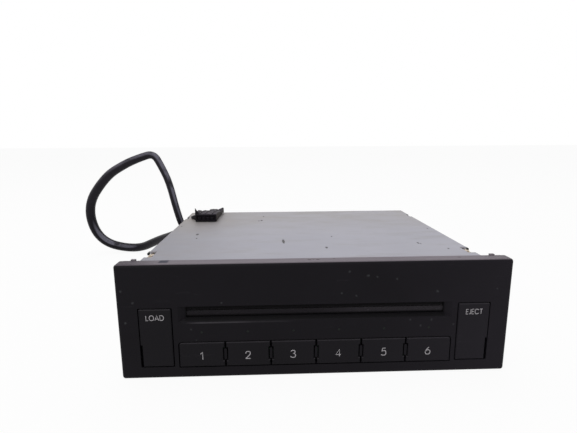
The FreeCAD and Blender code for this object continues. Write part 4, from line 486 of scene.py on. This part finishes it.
def print_ink():
    """Pale grey print, worn thin in places."""
    finish = Finish("pale_print", Specular_IOR_Level=0.3)
    wear_and_highlight_fade = finish.cloud(1.1, 4, 0.7)
    finish.paint(finish.mix(wear_and_highlight_fade.above(0.5, 0.75) * 0.5, (0.40, 0.38, 0.40), (0.17, 0.16, 0.17)))
    finish.set("Roughness", 0.5 + 0.2 * wear_and_highlight_fade)
    finish.raise_by(wear_and_highlight_fade, 0.01)
    return finish.done()


# Where the tape's painted highlight streaks look, on the slanting parts of the lead and on the level ones.
SLANT_HIGHLIGHT, LEVEL_HIGHLIGHT = (0.50, -0.75, 0.43), (0.0, -0.86, 0.50)


def tape_sheath(name, tone):
    """Black vinyl tape: painted highlights on its crown and in streaks along it, and darker low down."""
    finish = Finish(name, Specular_IOR_Level=0.10)
    level = finish.axis("z")
    scuff = finish.cloud(4.5, 4, 0.65)
    fine = finish.cloud(0.9, 4, 0.7)
    # Painted highlight: lighter patches on the upward faces, stronger high up.
    crown_highlight = finish.facing("z").above(-0.1, 0.7) * finish.cloud(12, 3, 0.6).above(0.34, 0.60)
    crown_highlight = crown_highlight * (0.12 + 1.2 * level.above(55, 95))
    # Painted highlight streaks where the surface looks along these directions.
    slant = finish.towards(SLANT_HIGHLIGHT).above(0.80, 0.94)
    level_slant = finish.towards(LEVEL_HIGHLIGHT).above(0.86, 0.98)
    highlight_streak = slant.most(level_slant * 0.6) * finish.cloud(13, 4, 0.6).above(0.30, 0.52)
    finish.paint(
        finish.mix(scuff, (tone, tone * 0.86, tone * 1.2), (tone * 2.4, tone * 2.0, tone * 2.8)),
        (1 - level.above(20, 60), (tone * 0.7, tone * 0.52, tone * 0.95)),
        (crown_highlight * 0.55, (0.115, 0.105, 0.128)),
        (highlight_streak * 0.8, (0.165, 0.160, 0.200)),
        (fine.above(0.6, 0.75) * 0.16, (0.06, 0.056, 0.066)))
    finish.set("Roughness", 0.20 + 0.24 * scuff + 0.1 * fine)
    finish.raise_by(scuff, 0.25)
    finish.raise_by(fine, 0.03)
    return finish.done()


def scraped_resin():
    """The connector's black nylon, scraped grey on top and brown with grime on its right flank."""
    finish = Finish("connector_resin", Specular_IOR_Level=0.07)
    up, right = finish.facing("z").above(0.3, 0.9), finish.facing("x").above(0.5, 0.9)
    scrape = finish.cloud(1.8, 5, 0.7, (1, 2.4, 1)).above(0.42, 0.62)
    grime = finish.cloud(3.4, 4, 0.6)
    finish.paint(
        finish.mix(grime, (0.0060, 0.0054, 0.0070), (0.0110, 0.0098, 0.0125)),
        (up * (0.12 + 0.6 * scrape), (0.066, 0.052, 0.072)),
        (right * (0.2 + 0.4 * grime), (0.046, 0.036, 0.026)))
    finish.set("Roughness", 0.42 + 0.2 * grime)
    finish.raise_by(scrape, 0.06)
    finish.raise_by(finish.cloud(0.4, 2), 0.02)
    return finish.done()


def moulded(name, tone, rough=0.4, warm=0.0, gloss=0.5):
    """Plain engineering plastic: slight flow marks and a fine grain."""
    finish = Finish(name, Specular_IOR_Level=gloss)
    flow = finish.cloud(6, 3, 0.5, (1, 1, 2))
    finish.paint(finish.mix(flow, grey(tone * 0.8, warm), grey(tone * 1.2, warm)))
    finish.set("Roughness", rough - 0.06 + 0.12 * flow)
    finish.raise_by(finish.cloud(0.3, 2), 0.02)
    return finish.done()


# In millimetres: the tallest capacitor, the board's upper side, and the heights over it from which
# a point lies on a chip or on a capacitor.
CAPACITOR_HEIGHT = 4.4
BOARD_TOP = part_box("main_circuit_board")[1][2] / MM - CAPACITOR_HEIGHT
CHIP_FROM, CAPACITOR_FROM = (0.1, 0.15), (1.9, 2.0)


def solder_mask(name, parts_from=None):
    """A green board with copper runs and tinned pads; over a level stand its chips and capacitors."""
    finish = Finish(name, Specular_IOR_Level=0.5)
    weave = finish.cloud(0.8, 2)
    runs = finish.node("TexWave", {"wave_type": "BANDS"}, Vector=finish.place(), Scale=1 / 9.0,
                       Distortion=7.0, Detail=2.0, output="Fac").above(0.72, 0.78)
    pads = finish.specks(3.4, 1.0)
    coats = [(runs * 0.8, (0.035, 0.17, 0.06)), (pads * 0.9, (0.46, 0.46, 0.44))]
    if parts_from is not None:
        level, up = finish.axis("z"), finish.facing("z").above(0.8, 0.95)
        chip, sleeve = (level.above(*(parts_from + height for height in edge))
                        for edge in (CHIP_FROM, CAPACITOR_FROM))
        coats += [(chip, (0.012, 0.012, 0.013)), (sleeve, (0.012, 0.020, 0.060)),
                  (sleeve * up, (0.50, 0.50, 0.50))]
        pads = pads * (1 - chip)
    finish.paint(finish.mix(weave, (0.012, 0.075, 0.030), (0.018, 0.100, 0.040)), *coats)
    finish.set("Roughness", 0.38 - 0.1 * pads)
    finish.set("Metallic", pads * 0.8)
    finish.raise_by(runs, 0.03)
    return finish.done()


def clear_guide():
    """Smoked acrylic that reads as faint grey-green dots in the front wall."""
    finish = Finish("smoked_acrylic", Specular_IOR_Level=0.12)
    haze = finish.cloud(0.7, 3)
    finish.paint(finish.mix(haze, (0.006, 0.008, 0.007), (0.016, 0.020, 0.018)))
    finish.set("Roughness", 0.35 + 0.2 * haze)
    finish.raise_by(haze, 0.02)
    return finish.done()


def coated_lens():
    """The pickup's lens: dark glass with a blue-violet coat."""
    finish = Finish("coated_lens", Coat_Weight=1.0, Coat_Roughness=0.03, Specular_IOR_Level=0.9)
    depth = finish.cloud(1.5, 2)
    finish.paint(finish.mix(depth, (0.010, 0.014, 0.060), (0.045, 0.020, 0.110)))
    finish.set("Roughness", 0.06 + 0.05 * depth)
    finish.raise_by(depth, 0.002)
    return finish.done()


def rolled_rubber(name, tone):
    """Matt rubber with a powdery bloom and grinding marks."""
    finish = Finish(name, Specular_IOR_Level=0.25)
    bloom = finish.cloud(3.5, 4)
    ground = finish.cloud(0.5, 3, 0.6, (0.35, 3, 3))
    finish.paint(finish.mix(bloom, grey(tone), grey(tone * 1.7)))
    finish.set("Roughness", 0.72 + 0.2 * bloom)
    finish.raise_by(ground, 0.03)
    return finish.done()


# --- Forms ------------------------------------------------------------------------------

def piece(name, data, body):
    """A new object that moves with a body."""
    made = bpy.data.objects.new(name, data)
    bpy.context.scene.collection.objects.link(made)
    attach(made, body)
    return made


def shaped_piece(name, shape, material, body):
    """A new piece from a finished shape, in one material."""
    mesh = bpy.data.meshes.new(name)
    shape.to_mesh(mesh)
    shape.free()
    mesh.materials.append(material)
    return piece(name, mesh, body)


def strand(name, routes, radius, material, facets=6, steps=10):
    """Smooth round lines along routes of places, each place with its own share of the radius."""
    curve = bpy.data.curves.new(name, "CURVE")
    curve.dimensions = "3D"
    curve.bevel_depth = radius
    curve.bevel_resolution = facets
    curve.resolution_u = steps
    curve.use_fill_caps = True
    for route, shares in routes:
        line = curve.splines.new("NURBS")
        line.points.add(len(route) - 1)
        for point, place, share in zip(line.points, route, shares):
            point.co = (*place, 1)
            point.radius = share
        line.order_u = 3
        line.use_endpoint_u = True
    curve.materials.append(material)
    return curve


# The width of a mouth's rim and of the small step that keeps its wall upright, in millimetres.
RIM = 0.9
RIM_STEP = RIM / 20
# Faces that meet at less than this angle, in radians, count as one.
FLAT_ANGLE = 0.02


def lump(shape, corners, ease=0.0, mouth=0.0):
    """Add a convex lump between places, its edges eased, with a mouth sunk into its front."""
    made = bmesh.new()
    for corner in corners:
        made.verts.new(corner)
    bmesh.ops.convex_hull(made, input=made.verts)
    bmesh.ops.dissolve_limit(made, angle_limit=FLAT_ANGLE, verts=made.verts, edges=made.edges)
    if ease:
        bmesh.ops.bevel(made, geom=made.edges, offset=ease * MM, segments=2, affect="EDGES", profile=0.5)
    if mouth:
        made.normal_update()
        front = max(made.faces, key=lambda face: -face.normal.y * face.calc_area())
        for thickness in (RIM, RIM_STEP):
            bmesh.ops.inset_region(made, faces=[front], thickness=thickness * MM)
        bmesh.ops.translate(made, verts=front.verts, vec=(0, mouth * MM, 0))
    bmesh.ops.recalc_face_normals(made, faces=made.faces)
    mesh = bpy.data.meshes.new("lump")
    made.to_mesh(mesh)
    made.free()
    shape.from_mesh(mesh)
    bpy.data.meshes.remove(mesh)


def brick(across, depth, level):
    """The eight places of an upright box, from its ranges in millimetres."""
    return [at(x, y, z) for x in across for y in depth for z in level]


def prism(across, outline):
    """The places of an outline of depths and levels, repeated at two places across."""
    return [at(x, y, z) for x in across for y, z in outline]


# --- Lead, wires and connector ----------------------------------------------------------

# The lead leaves the plug at the back, rises to its fold, loops out to the left and down to the
# floor, and comes back up behind the case to the wires, which enter the flat connector.
LEAD_ROUTE = [
    (-66, 174, 21.3), (-66, 188, 21.3), (-71, 204, 19.3), (-89, 213, 18.3), (-109, 208, 28.3),
    (-113.8, 203, 51.3), (-118.6, 203, 75.3), (-125, 203.5, 90.3), (-132, 205, 102.8),
    (-145, 206, 99), (-160, 209, 93.3), (-182, 214, 81), (-207, 223, 50), (-201, 231, 11.8),
    (-164, 233, 2.2), (-134, 213, 18), (-116, 194, 26.5), (-98, 178, 36.8), (-82, 168.5, 38.8),
]
LEAD_SHARES = [
    1.0, 1.0, 1.0, 0.98, 0.92, 0.9, 0.92, 0.92, 0.96, 1.04, 1.14, 1.22, 1.27, 1.26, 1.2, 1.14, 1.06,
    1.0, 1.0,
]
WIRES_ROUTE = [
    (-82, 168.5, 38.8), (-74, 163.75, 39.55), (-71, 161.8, 46.8), (-70.9, 160.4, 56.7),
    (-70.9, 151.5, 56.7),
]
LEAD_WIDTH = 7 * MM
WIRES_WIDTH = 3 * MM

# The connector's sides, front, shoulder, rear, underside, front top and rear top, in millimetres.
SHELL_LEFT, SHELL_RIGHT = -78.8, -63.0
SHELL_FRONT, SHELL_SHOULDER, SHELL_REAR = 115.5, 125.0, 151.5
SHELL_LOW, SHELL_HIGH, SHELL_TAIL = 55.0, 60.7, 57.4
SHELL_SIDES, SHELL_MIDDLE = (SHELL_LEFT, SHELL_RIGHT), (SHELL_LEFT + SHELL_RIGHT) / 2
SHELL_OUTLINE = [
    (SHELL_FRONT, SHELL_LOW), (SHELL_FRONT, SHELL_HIGH), (SHELL_SHOULDER, SHELL_HIGH),
    (SHELL_REAR, SHELL_TAIL), (SHELL_REAR, SHELL_LOW),
]
SHELL_EASE, MOUTH_DEPTH = 0.5, 1.1
CONTACT_WAYS, CONTACT_PITCH = 4, 3.1
# Half width, depths, levels and edge of each contact, and of the block under it.
CONTACT = 0.8, (SHELL_FRONT + 0.2, SHELL_FRONT + 3), (59, 59.6), 0.1
CONTACT_BLOCK = 1.1, (SHELL_FRONT + 0.1, SHELL_FRONT + 3), (56.2, 58.4), 0.3
# The ribs along the top: where each begins across, their width and their outline.
RIBS = (SHELL_LEFT + 2.6, SHELL_MIDDLE - 1.2, SHELL_RIGHT - 3.8)
RIB_WIDTH = 1.1
RIB_TOP = SHELL_HIGH + 0.45
RIB_OUTLINE = [
    (SHELL_FRONT + 1.5, SHELL_HIGH - 0.5), (SHELL_FRONT + 2.2, RIB_TOP), (SHELL_SHOULDER, RIB_TOP),
    (SHELL_REAR - 8, SHELL_TAIL + 1.6), (SHELL_REAR - 6, SHELL_TAIL - 0.5),
]
SMALL_EASE = 0.15
# The block beside the wires' entry and the entry itself: across, depth, level and edge.
ENTRY_BLOCKS = [
    ((SHELL_MIDDLE + 0.5, SHELL_MIDDLE + 4.2), (SHELL_REAR - 9, SHELL_REAR - 0.5), (56, 58.6), 0.35),
    ((SHELL_MIDDLE - 2.1, SHELL_MIDDLE + 2.1), (SHELL_REAR - 10, SHELL_REAR), (55.2, 58.5), 0.5),
]
# Corners of the keying rail, the front prong, the rear prong and the side tab.
RAIL = [
    (SHELL_LEFT, SHELL_FRONT + 2, 60), (SHELL_LEFT + 3, SHELL_FRONT + 2, 60.3),
    (SHELL_LEFT, SHELL_SHOULDER + 8, 59), (SHELL_LEFT + 3, SHELL_SHOULDER + 8, 59),
    (SHELL_LEFT, SHELL_FRONT + 6, 62.0), (SHELL_LEFT + 2.4, SHELL_FRONT + 6, 61.7),
    (SHELL_LEFT, SHELL_SHOULDER + 6, 61.4), (SHELL_LEFT + 2.4, SHELL_SHOULDER + 6, 61),
]
RAIL_EASE = 0.2
FRONT_PRONG = [
    (SHELL_LEFT, SHELL_FRONT + 0.4, 60), (SHELL_LEFT + 3.4, SHELL_FRONT + 0.8, 60.2),
    (SHELL_LEFT + 1.2, SHELL_FRONT + 6, 60.3), (SHELL_LEFT, SHELL_FRONT + 5, 59.5),
    (SHELL_LEFT - 0.1, SHELL_FRONT + 1.6, 65.4),
]
REAR_PRONG = [
    (SHELL_RIGHT, SHELL_REAR - 14, 57), (SHELL_RIGHT - 5.6, SHELL_REAR - 1, 57.3),
    (SHELL_RIGHT - 0.9, SHELL_REAR - 8, 58.6), (SHELL_RIGHT + 1.2, SHELL_REAR, 55.4),
    (SHELL_RIGHT + 0.4, SHELL_REAR - 0.8, 59.8), (SHELL_RIGHT + 1.2, SHELL_REAR - 0.4, 59.4),
]
SIDE_TAB = [
    (SHELL_LEFT + 0.8, 121, 55.2), (SHELL_LEFT + 0.8, 129, 55.2), (SHELL_LEFT + 0.8, 122, 59.2),
    (SHELL_LEFT + 0.8, 129, 59.2), (SHELL_LEFT - 5.4, 127.4, 55.2), (SHELL_LEFT - 5.4, 129, 55.2),
    (SHELL_LEFT - 5.4, 127.6, 56.8), (SHELL_LEFT - 5.4, 129, 56.8),
]


def connector_shell(resin):
    """The flat connector: a wedge with an open mouth, ribs, a wire entry, a tab and two prongs."""
    shape = bmesh.new()
    lump(shape, prism(SHELL_SIDES, SHELL_OUTLINE), SHELL_EASE, MOUTH_DEPTH)
    for way in range(CONTACT_WAYS):
        x = SHELL_MIDDLE + (way - (CONTACT_WAYS - 1) / 2) * CONTACT_PITCH
        for half, depths, levels, ease in (CONTACT, CONTACT_BLOCK):
            lump(shape, brick((x - half, x + half), depths, levels), ease)
    lump(shape, places(RAIL), RAIL_EASE)
    for x in RIBS:
        lump(shape, prism((x, x + RIB_WIDTH), RIB_OUTLINE), SMALL_EASE)
    for across, depths, levels, ease in ENTRY_BLOCKS:
        lump(shape, brick(across, depths, levels), ease)
    lump(shape, places(FRONT_PRONG))
    lump(shape, places(REAR_PRONG))
    lump(shape, places(SIDE_TAB), SMALL_EASE)
    shell = shaped_piece("connector_shell", shape, resin, "unit")
    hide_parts("harness_connector")
    return shell


def cords(sheath, wire_coat, shell):
    """The lead from the plug and the wires into the connector."""
    route = places(LEAD_ROUTE)
    lead = piece("lead", strand("lead", [(route, LEAD_SHARES)], LEAD_WIDTH / 2, sheath), "unit")
    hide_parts("harness_lead")
    route = places(WIRES_ROUTE)
    wires = piece("wires", strand("wires", [(route, [1.0] * len(route))], WIRES_WIDTH / 2, wire_coat),
                  "unit")
    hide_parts("connector_wires")


# --- Print ------------------------------------------------------------------------------

# Strokes of each character, on a height of 1: whether they bend, then their places.
STROKES = {
    "1": [(False, [(0.0, 0.76), (0.28, 1.0), (0.28, 0.0)])],
    "2": [(True, [(0.03, 0.72), (0.04, 1.0), (0.62, 1.0), (0.62, 0.5), (0.02, 0.02)]),
          (False, [(0.0, 0.0), (0.62, 0.0)])],
    "3": [(True, [(0.06, 0.84), (0.1, 1.0), (0.58, 1.0), (0.58, 0.56), (0.26, 0.56)]),
          (True, [(0.26, 0.56), (0.64, 0.56), (0.64, 0.0), (0.04, 0.0), (0.0, 0.2)])],
    "4": [(False, [(0.48, 0.0), (0.48, 1.0), (0.0, 0.24), (0.66, 0.24)])],
    "5": [(False, [(0.56, 1.0), (0.16, 1.0), (0.08, 0.54)]),
          (True, [(0.08, 0.54), (0.2, 0.66), (0.62, 0.66), (0.62, 0.0), (0.06, 0.0), (0.0, 0.12)])],
    "6": [(True, [(0.44, 1.0), (0.0, 0.6), (0.0, 0.0), (0.62, 0.0), (0.62, 0.62), (0.05, 0.62),
                  (0.0, 0.3)])],
    "A": [(False, [(0.0, 0.0), (0.38, 1.0), (0.76, 0.0)]), (False, [(0.13, 0.3), (0.63, 0.3)])],
    "C": [(True, [(0.74, 0.82), (0.6, 1.0), (0.0, 1.0), (0.0, 0.0), (0.6, 0.0), (0.74, 0.18)])],
    "D": [(False, [(0.24, 1.0), (0.0, 1.0), (0.0, 0.0), (0.24, 0.0)]),
          (True, [(0.24, 1.0), (0.7, 1.0), (0.7, 0.0), (0.24, 0.0)])],
    "E": [(False, [(0.42, 1.0), (0.0, 1.0), (0.0, 0.0), (0.42, 0.0)]), (False, [(0.0, 0.52), (0.38, 0.52)])],
    "J": [(True, [(0.28, 1.0), (0.28, 0.4), (0.28, 0.0), (0.0, 0.04)])],
    "L": [(False, [(0.0, 1.0), (0.0, 0.0), (0.42, 0.0)])],
    "O": [(True, [(0.42, 1.0), (0.0, 1.0), (0.0, 0.0), (0.84, 0.0), (0.84, 1.0), (0.42, 1.0)])],
    "T": [(False, [(0.0, 1.0), (0.52, 1.0)]), (False, [(0.26, 1.0), (0.26, 0.0)])],
}
LETTER_GAP = 0.22
PRINT_PROUD = 0.03
IN_FRONT = -50
# Levels and stroke width of the numerals and of the words, and the middles of both across.
NUMERAL_LEVELS, NUMERAL_STROKE = (9.7, 13.9), 0.44
WORD_LEVELS, WORD_STROKE = (30.6, 33.4), 0.34
NUMERAL_MIDDLES = [-56.0, -33.5, -11.4, 10.9, 33.4, 55.5]
LOAD_MIDDLE, EJECT_MIDDLE = -77.3, 77.4


def face_depth(node, across, level):
    """How far behind the fascia's face a node's front stands at a place across and up."""
    tree = BVHTree.FromObject(nodes[node], bpy.context.evaluated_depsgraph_get())
    hit = tree.ray_cast(at(across, IN_FRONT, level), Vector((0, 1, 0)))[0]
    return (hit.y - FACE) / MM


def printed(name, words, node, middle, levels, stroke, ink):
    """Words in even strokes on a button's front, centred at a place across, between two levels."""
    low, high = levels
    tall = high - low - stroke
    letters = bpy.data.curves.new(name, "CURVE")
    letters.dimensions = "3D"
    letters.bevel_depth = stroke / 2
    letters.bevel_resolution = 1
    letters.resolution_u = 6
    letters.use_fill_caps = True
    start = 0
    for letter in words:
        for bends, spots in STROKES[letter]:
            line = letters.splines.new("NURBS" if bends else "POLY")
            line.points.add(len(spots) - 1)
            for point, (x, y) in zip(line.points, spots):
                point.co = (start + x * tall, low + stroke / 2 + y * tall, 0, 1)
            if bends:
                line.order_u = 3
                line.use_endpoint_u = True
        start += tall * (LETTER_GAP + max(x for bends, spots in STROKES[letter] for x, y in spots))
    sample = bpy.data.objects.new(name, letters)
    bpy.context.scene.collection.objects.link(sample)
    mesh = bpy.data.meshes.new_from_object(sample.evaluated_get(bpy.context.evaluated_depsgraph_get()))
    bpy.data.objects.remove(sample)
    face = face_depth(node, middle, (low + high) / 2)
    shift = middle - (start - tall * LETTER_GAP) / 2
    for vertex in mesh.vertices:
        x, level, out = vertex.co
        vertex.co = at(x + shift, face - out / stroke * 2 * PRINT_PROUD, level)
    mesh.materials.clear()
    mesh.materials.append(ink)
    piece(name, mesh, node)


def button_print(ink):
    """The numerals on the six keys and the words on the two tall buttons."""
    for number, middle in zip(PRESETS, NUMERAL_MIDDLES):
        printed("numeral_%d" % number, str(number), "preset_key_%d" % number, middle, NUMERAL_LEVELS,
                NUMERAL_STROKE, ink)
    printed("load_word", "LOAD", "load_button", LOAD_MIDDLE, WORD_LEVELS, WORD_STROKE, ink)
    printed("eject_word", "EJECT", "eject_button", EJECT_MIDDLE, WORD_LEVELS, WORD_STROKE, ink)


# --- Springs, screws and painted notch shade ----------------------------------------------

def solids_of(node):
    """The separate solids of a node, as boxes of low and high corners."""
    mesh = nodes[node].data
    owner = list(range(len(mesh.vertices)))

    def root(number):
        while owner[number] != number:
            owner[number] = owner[owner[number]]
            number = owner[number]
        return number

    for edge in mesh.edges:
        owner[root(edge.vertices[0])] = root(edge.vertices[1])
    solids = {}
    for vertex in mesh.vertices:
        solids.setdefault(root(vertex.index), []).append(vertex.co)
    return [tuple(Vector(choose(spot[axis] for spot in spots) for axis in range(3)) for choose in (min, max))
            for spots in solids.values()]


def body_of(node):
    """The body that the record gives a node."""
    return [name for name, held in frame["record"]["behaviour"]["bodies"].items() if node in held][0]


# Length and width of each bar of a screw's cross, and how far it stands proud, in millimetres.
CROSS_LONG, CROSS_WIDE, CROSS_PROUD = 2.6, 0.55, 0.03


def cross_recesses(shade):
    """Painted shade for the cross recess in each case screw's head: a dark cross laid on the outer face."""
    shape = bmesh.new()
    for low, high in solids_of("case_screws"):
        middle, size = (low + high) / 2, high - low
        along = 0 if abs(size.y - size.z) < abs(size.x - size.z) else 1
        out = -1 if along == 0 and middle.x < 0 else 1
        head = (high if out > 0 else low)[along]
        for bar_axis in (1 - along, 2):
            half = [CROSS_WIDE / 2 * MM] * 3
            half[bar_axis] = CROSS_LONG / 2 * MM
            corners = []
            for signs in itertools.product((-1, 1), repeat=3):
                spot = Vector(middle[axis] + signs[axis] * half[axis] for axis in range(3))
                spot[along] = head + signs[along] * CROSS_PROUD * MM
                corners.append(spot)
            lump(shape, corners)
    shaped_piece("cross_recesses", shape, shade, "unit")


# The black blocks of painted shade beside the notches: across on either side, depth, level and edge, in
# millimetres.
NOTCH_SHADE_ACROSS, NOTCH_SHADE_DEPTH, NOTCH_SHADE_LEVEL, NOTCH_SHADE_EASE = (90.1, 88.7), (35, 38.8), (52.8, 54.1), 0.25


def cover_clips(plastic):
    """Black blocks that stand out of the case beside the cover's front notches: painted shade for the dark
    gap in each notch.
    """
    shape = bmesh.new()
    for side in (-1, 1):
        lump(shape, brick([side * edge for edge in NOTCH_SHADE_ACROSS], NOTCH_SHADE_DEPTH, NOTCH_SHADE_LEVEL), NOTCH_SHADE_EASE)
    shaped_piece("cover_clips", shape, plastic, "unit")


SPRING_WIRE = 0.3 * MM
SPRING_TURNS = 6
SPRING_STEPS = 10
CLOSED_TURNS = 0.8


def coil_springs(material):
    """Each suspension spring as a real coil, with its end turns closed up."""
    routes = []
    for low, high in solids_of("suspension_springs"):
        middle = (low + high) / 2
        radius = (high.x - low.x) / 2 - SPRING_WIRE
        rise = high.z - low.z - 2 * SPRING_WIRE
        route = []
        for step in range(SPRING_TURNS * SPRING_STEPS + 1):
            turn = step / SPRING_STEPS
            share = min(max((turn - CLOSED_TURNS) / (SPRING_TURNS - 2 * CLOSED_TURNS), 0), 1)
            angle = math.tau * turn
            route.append((middle.x + radius * math.cos(angle), middle.y + radius * math.sin(angle),
                          low.z + SPRING_WIRE + rise * share))
        routes.append((route, [1.0] * len(route)))
    coils = strand("coil_springs", routes, SPRING_WIRE, material, facets=3, steps=4)
    springs = piece("coil_springs", coils, body_of("suspension_springs"))
    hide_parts("suspension_springs")


# --- Floor and light --------------------------------------------------------------------

FLOOR_REACH = 6.0
FLOOR_GLOW = 0.93
SKY_LIGHT = 0.5
# The rays that see a plain white floor and sky.
WHITE_RAYS = ("Is Camera Ray", "Is Glossy Ray", "Is Transmission Ray")


def stage():
    """A pale floor that looks white to the eye and still holds the changer's shadow."""
    finish = Finish("pale_floor", Roughness=0.8, Specular_IOR_Level=0.1)
    seen, *others = (finish.node("LightPath", {}, output=kind) for kind in WHITE_RAYS)
    for other in others:
        seen = seen.most(other)
    finish.paint(finish.mix(finish.cloud(400, 2), (0.86, 0.86, 0.86), (0.88, 0.88, 0.88)))
    glow = finish.node("Emission", {}, (1.0, 1.0, 1.0), 1.0)
    coated = Value(finish, finish.shader.outputs["BSDF"])
    blend = finish.node("MixShader", {}, seen * FLOOR_GLOW, coated, glow)
    finish.feed(finish.tree.nodes["Material Output"].inputs["Surface"], blend)
    mesh = bpy.data.meshes.new("floor")
    corners = [(x * FLOOR_REACH, y * FLOOR_REACH, 0) for x, y in ((-1, -1), (1, -1), (1, 1), (-1, 1))]
    mesh.from_pydata(corners, [], [(0, 1, 2, 3)])
    mesh.materials.append(finish.material)
    floor = bpy.data.objects.new("floor", mesh)
    bpy.context.scene.collection.objects.link(floor)


def sky():
    """Soft light from all round; the eye and shiny metal see plain white."""
    world = bpy.data.worlds.new("studio")
    bpy.context.scene.world = world
    world.use_nodes = True
    tree = world.node_tree
    rays = tree.nodes.new("ShaderNodeLightPath")
    seen = rays.outputs[WHITE_RAYS[0]]
    for kind in WHITE_RAYS[1:]:
        either = tree.nodes.new("ShaderNodeMath")
        either.operation = "MAXIMUM"
        tree.links.new(seen, either.inputs[0])
        tree.links.new(rays.outputs[kind], either.inputs[1])
        seen = either.outputs[0]
    strength = tree.nodes.new("ShaderNodeMapRange")
    strength.inputs["To Min"].default_value = SKY_LIGHT
    tree.links.new(seen, strength.inputs["Value"])
    background = tree.nodes["Background"]
    background.inputs["Color"].default_value = (1, 1, 1, 1)
    tree.links.new(strength.outputs[0], background.inputs["Strength"])


def lamp(name, place, target, size, power):
    """A square soft box that looks at a target."""
    light = bpy.data.lights.new(name, "AREA")
    light.size = size
    light.energy = power
    holder = bpy.data.objects.new(name, light)
    bpy.context.scene.collection.objects.link(holder)
    holder.location = place
    holder.rotation_euler = (Vector(target) - Vector(place)).to_track_quat("-Z", "Y").to_euler()


# --- Everything together ----------------------------------------------------------------

def dress(material, *names):
    """Put one finish on every material slot of the named nodes."""
    for name in names:
        for slot in nodes[name].material_slots:
            slot.material = material


camera()
cords(tape_sheath("lead_tape", 0.0075), tape_sheath("wire_tape", 0.006), connector_shell(scraped_resin()))
button_print(print_ink())
cross_recesses(moulded("recess_shade", 0.02, 0.6))
cover_clips(moulded("notch_shade_black", 0.006, 0.5, gloss=0.08))
coil_springs(turned_steel("spring_wire", 0.5))
stage()
sky()
lamp("overhead", place=(-0.15, -0.05, 1.3), target=(0, 0, 0), size=1.3, power=7.5)
lamp("front_fill", place=(-0.5, -1.3, 0.7), target=(0, 0, 0.03), size=1.0, power=4.0)

dress(slot_moulding(), "fascia")
dress(black_moulding("key_black", 0.0050, 0.9), "load_button", "eject_button",
      *("preset_key_%d" % number for number in PRESETS))
dress(clear_guide(), "light_guides")
dress(felt(), "slot_curtain")
dress(cover_zinc(), "top_cover")
dress(rolled_zinc("zinc_sheet", 0.48), "front_frame", "lower_chassis", "rear_panel", "deck_base")
dress(rolled_zinc("zinc_arms", 0.52, brushed=(14, 1, 14)), "traverse_arm", "clamp_arm")
dress(yellow_zinc(), "corner_brackets")
dress(turned_steel("plated_screws"), "case_screws", "board_screws")
dress(turned_steel("ground_shafts", 0.66), "roller_shaft", "elevator_shaft", "guide_rods", "lead_screw")
dress(turned_steel("motor_cans", 0.55), "feed_motor", "elevator_motor", "spindle_motor", "sled_motor")
dress(moulded("brass_worm", 0.45, 0.3, 0.35), "elevator_worm")
dress(moulded("white_acetal", 0.62, 0.35, 0.04), "roller_gear", "feed_idler", "feed_pinion",
      "elevator_gear", "elevator_pinions")
dress(moulded("black_acetal", 0.012, 0.38), "left_cam_slide", "right_cam_slide", "disc_guide",
      "roller_bracket", "turntable", "disc_clamp", "pickup_sled", "tact_switches")
dress(moulded("tray_resin", 0.20, 0.45, 0.01), *("disc_tray_%d" % number for number in TRAYS))
dress(rolled_rubber("roller_rubber", 0.012), "feed_roller")
dress(rolled_rubber("damper_rubber", 0.02), "dampers")
dress(coated_lens(), "pickup_lens")
dress(solder_mask("green_board"), "front_circuit_board")
dress(solder_mask("populated_board", BOARD_TOP), "main_circuit_board")
dress(moulded("socket_resin", 0.02, 0.42), "rear_socket", "lead_plug")
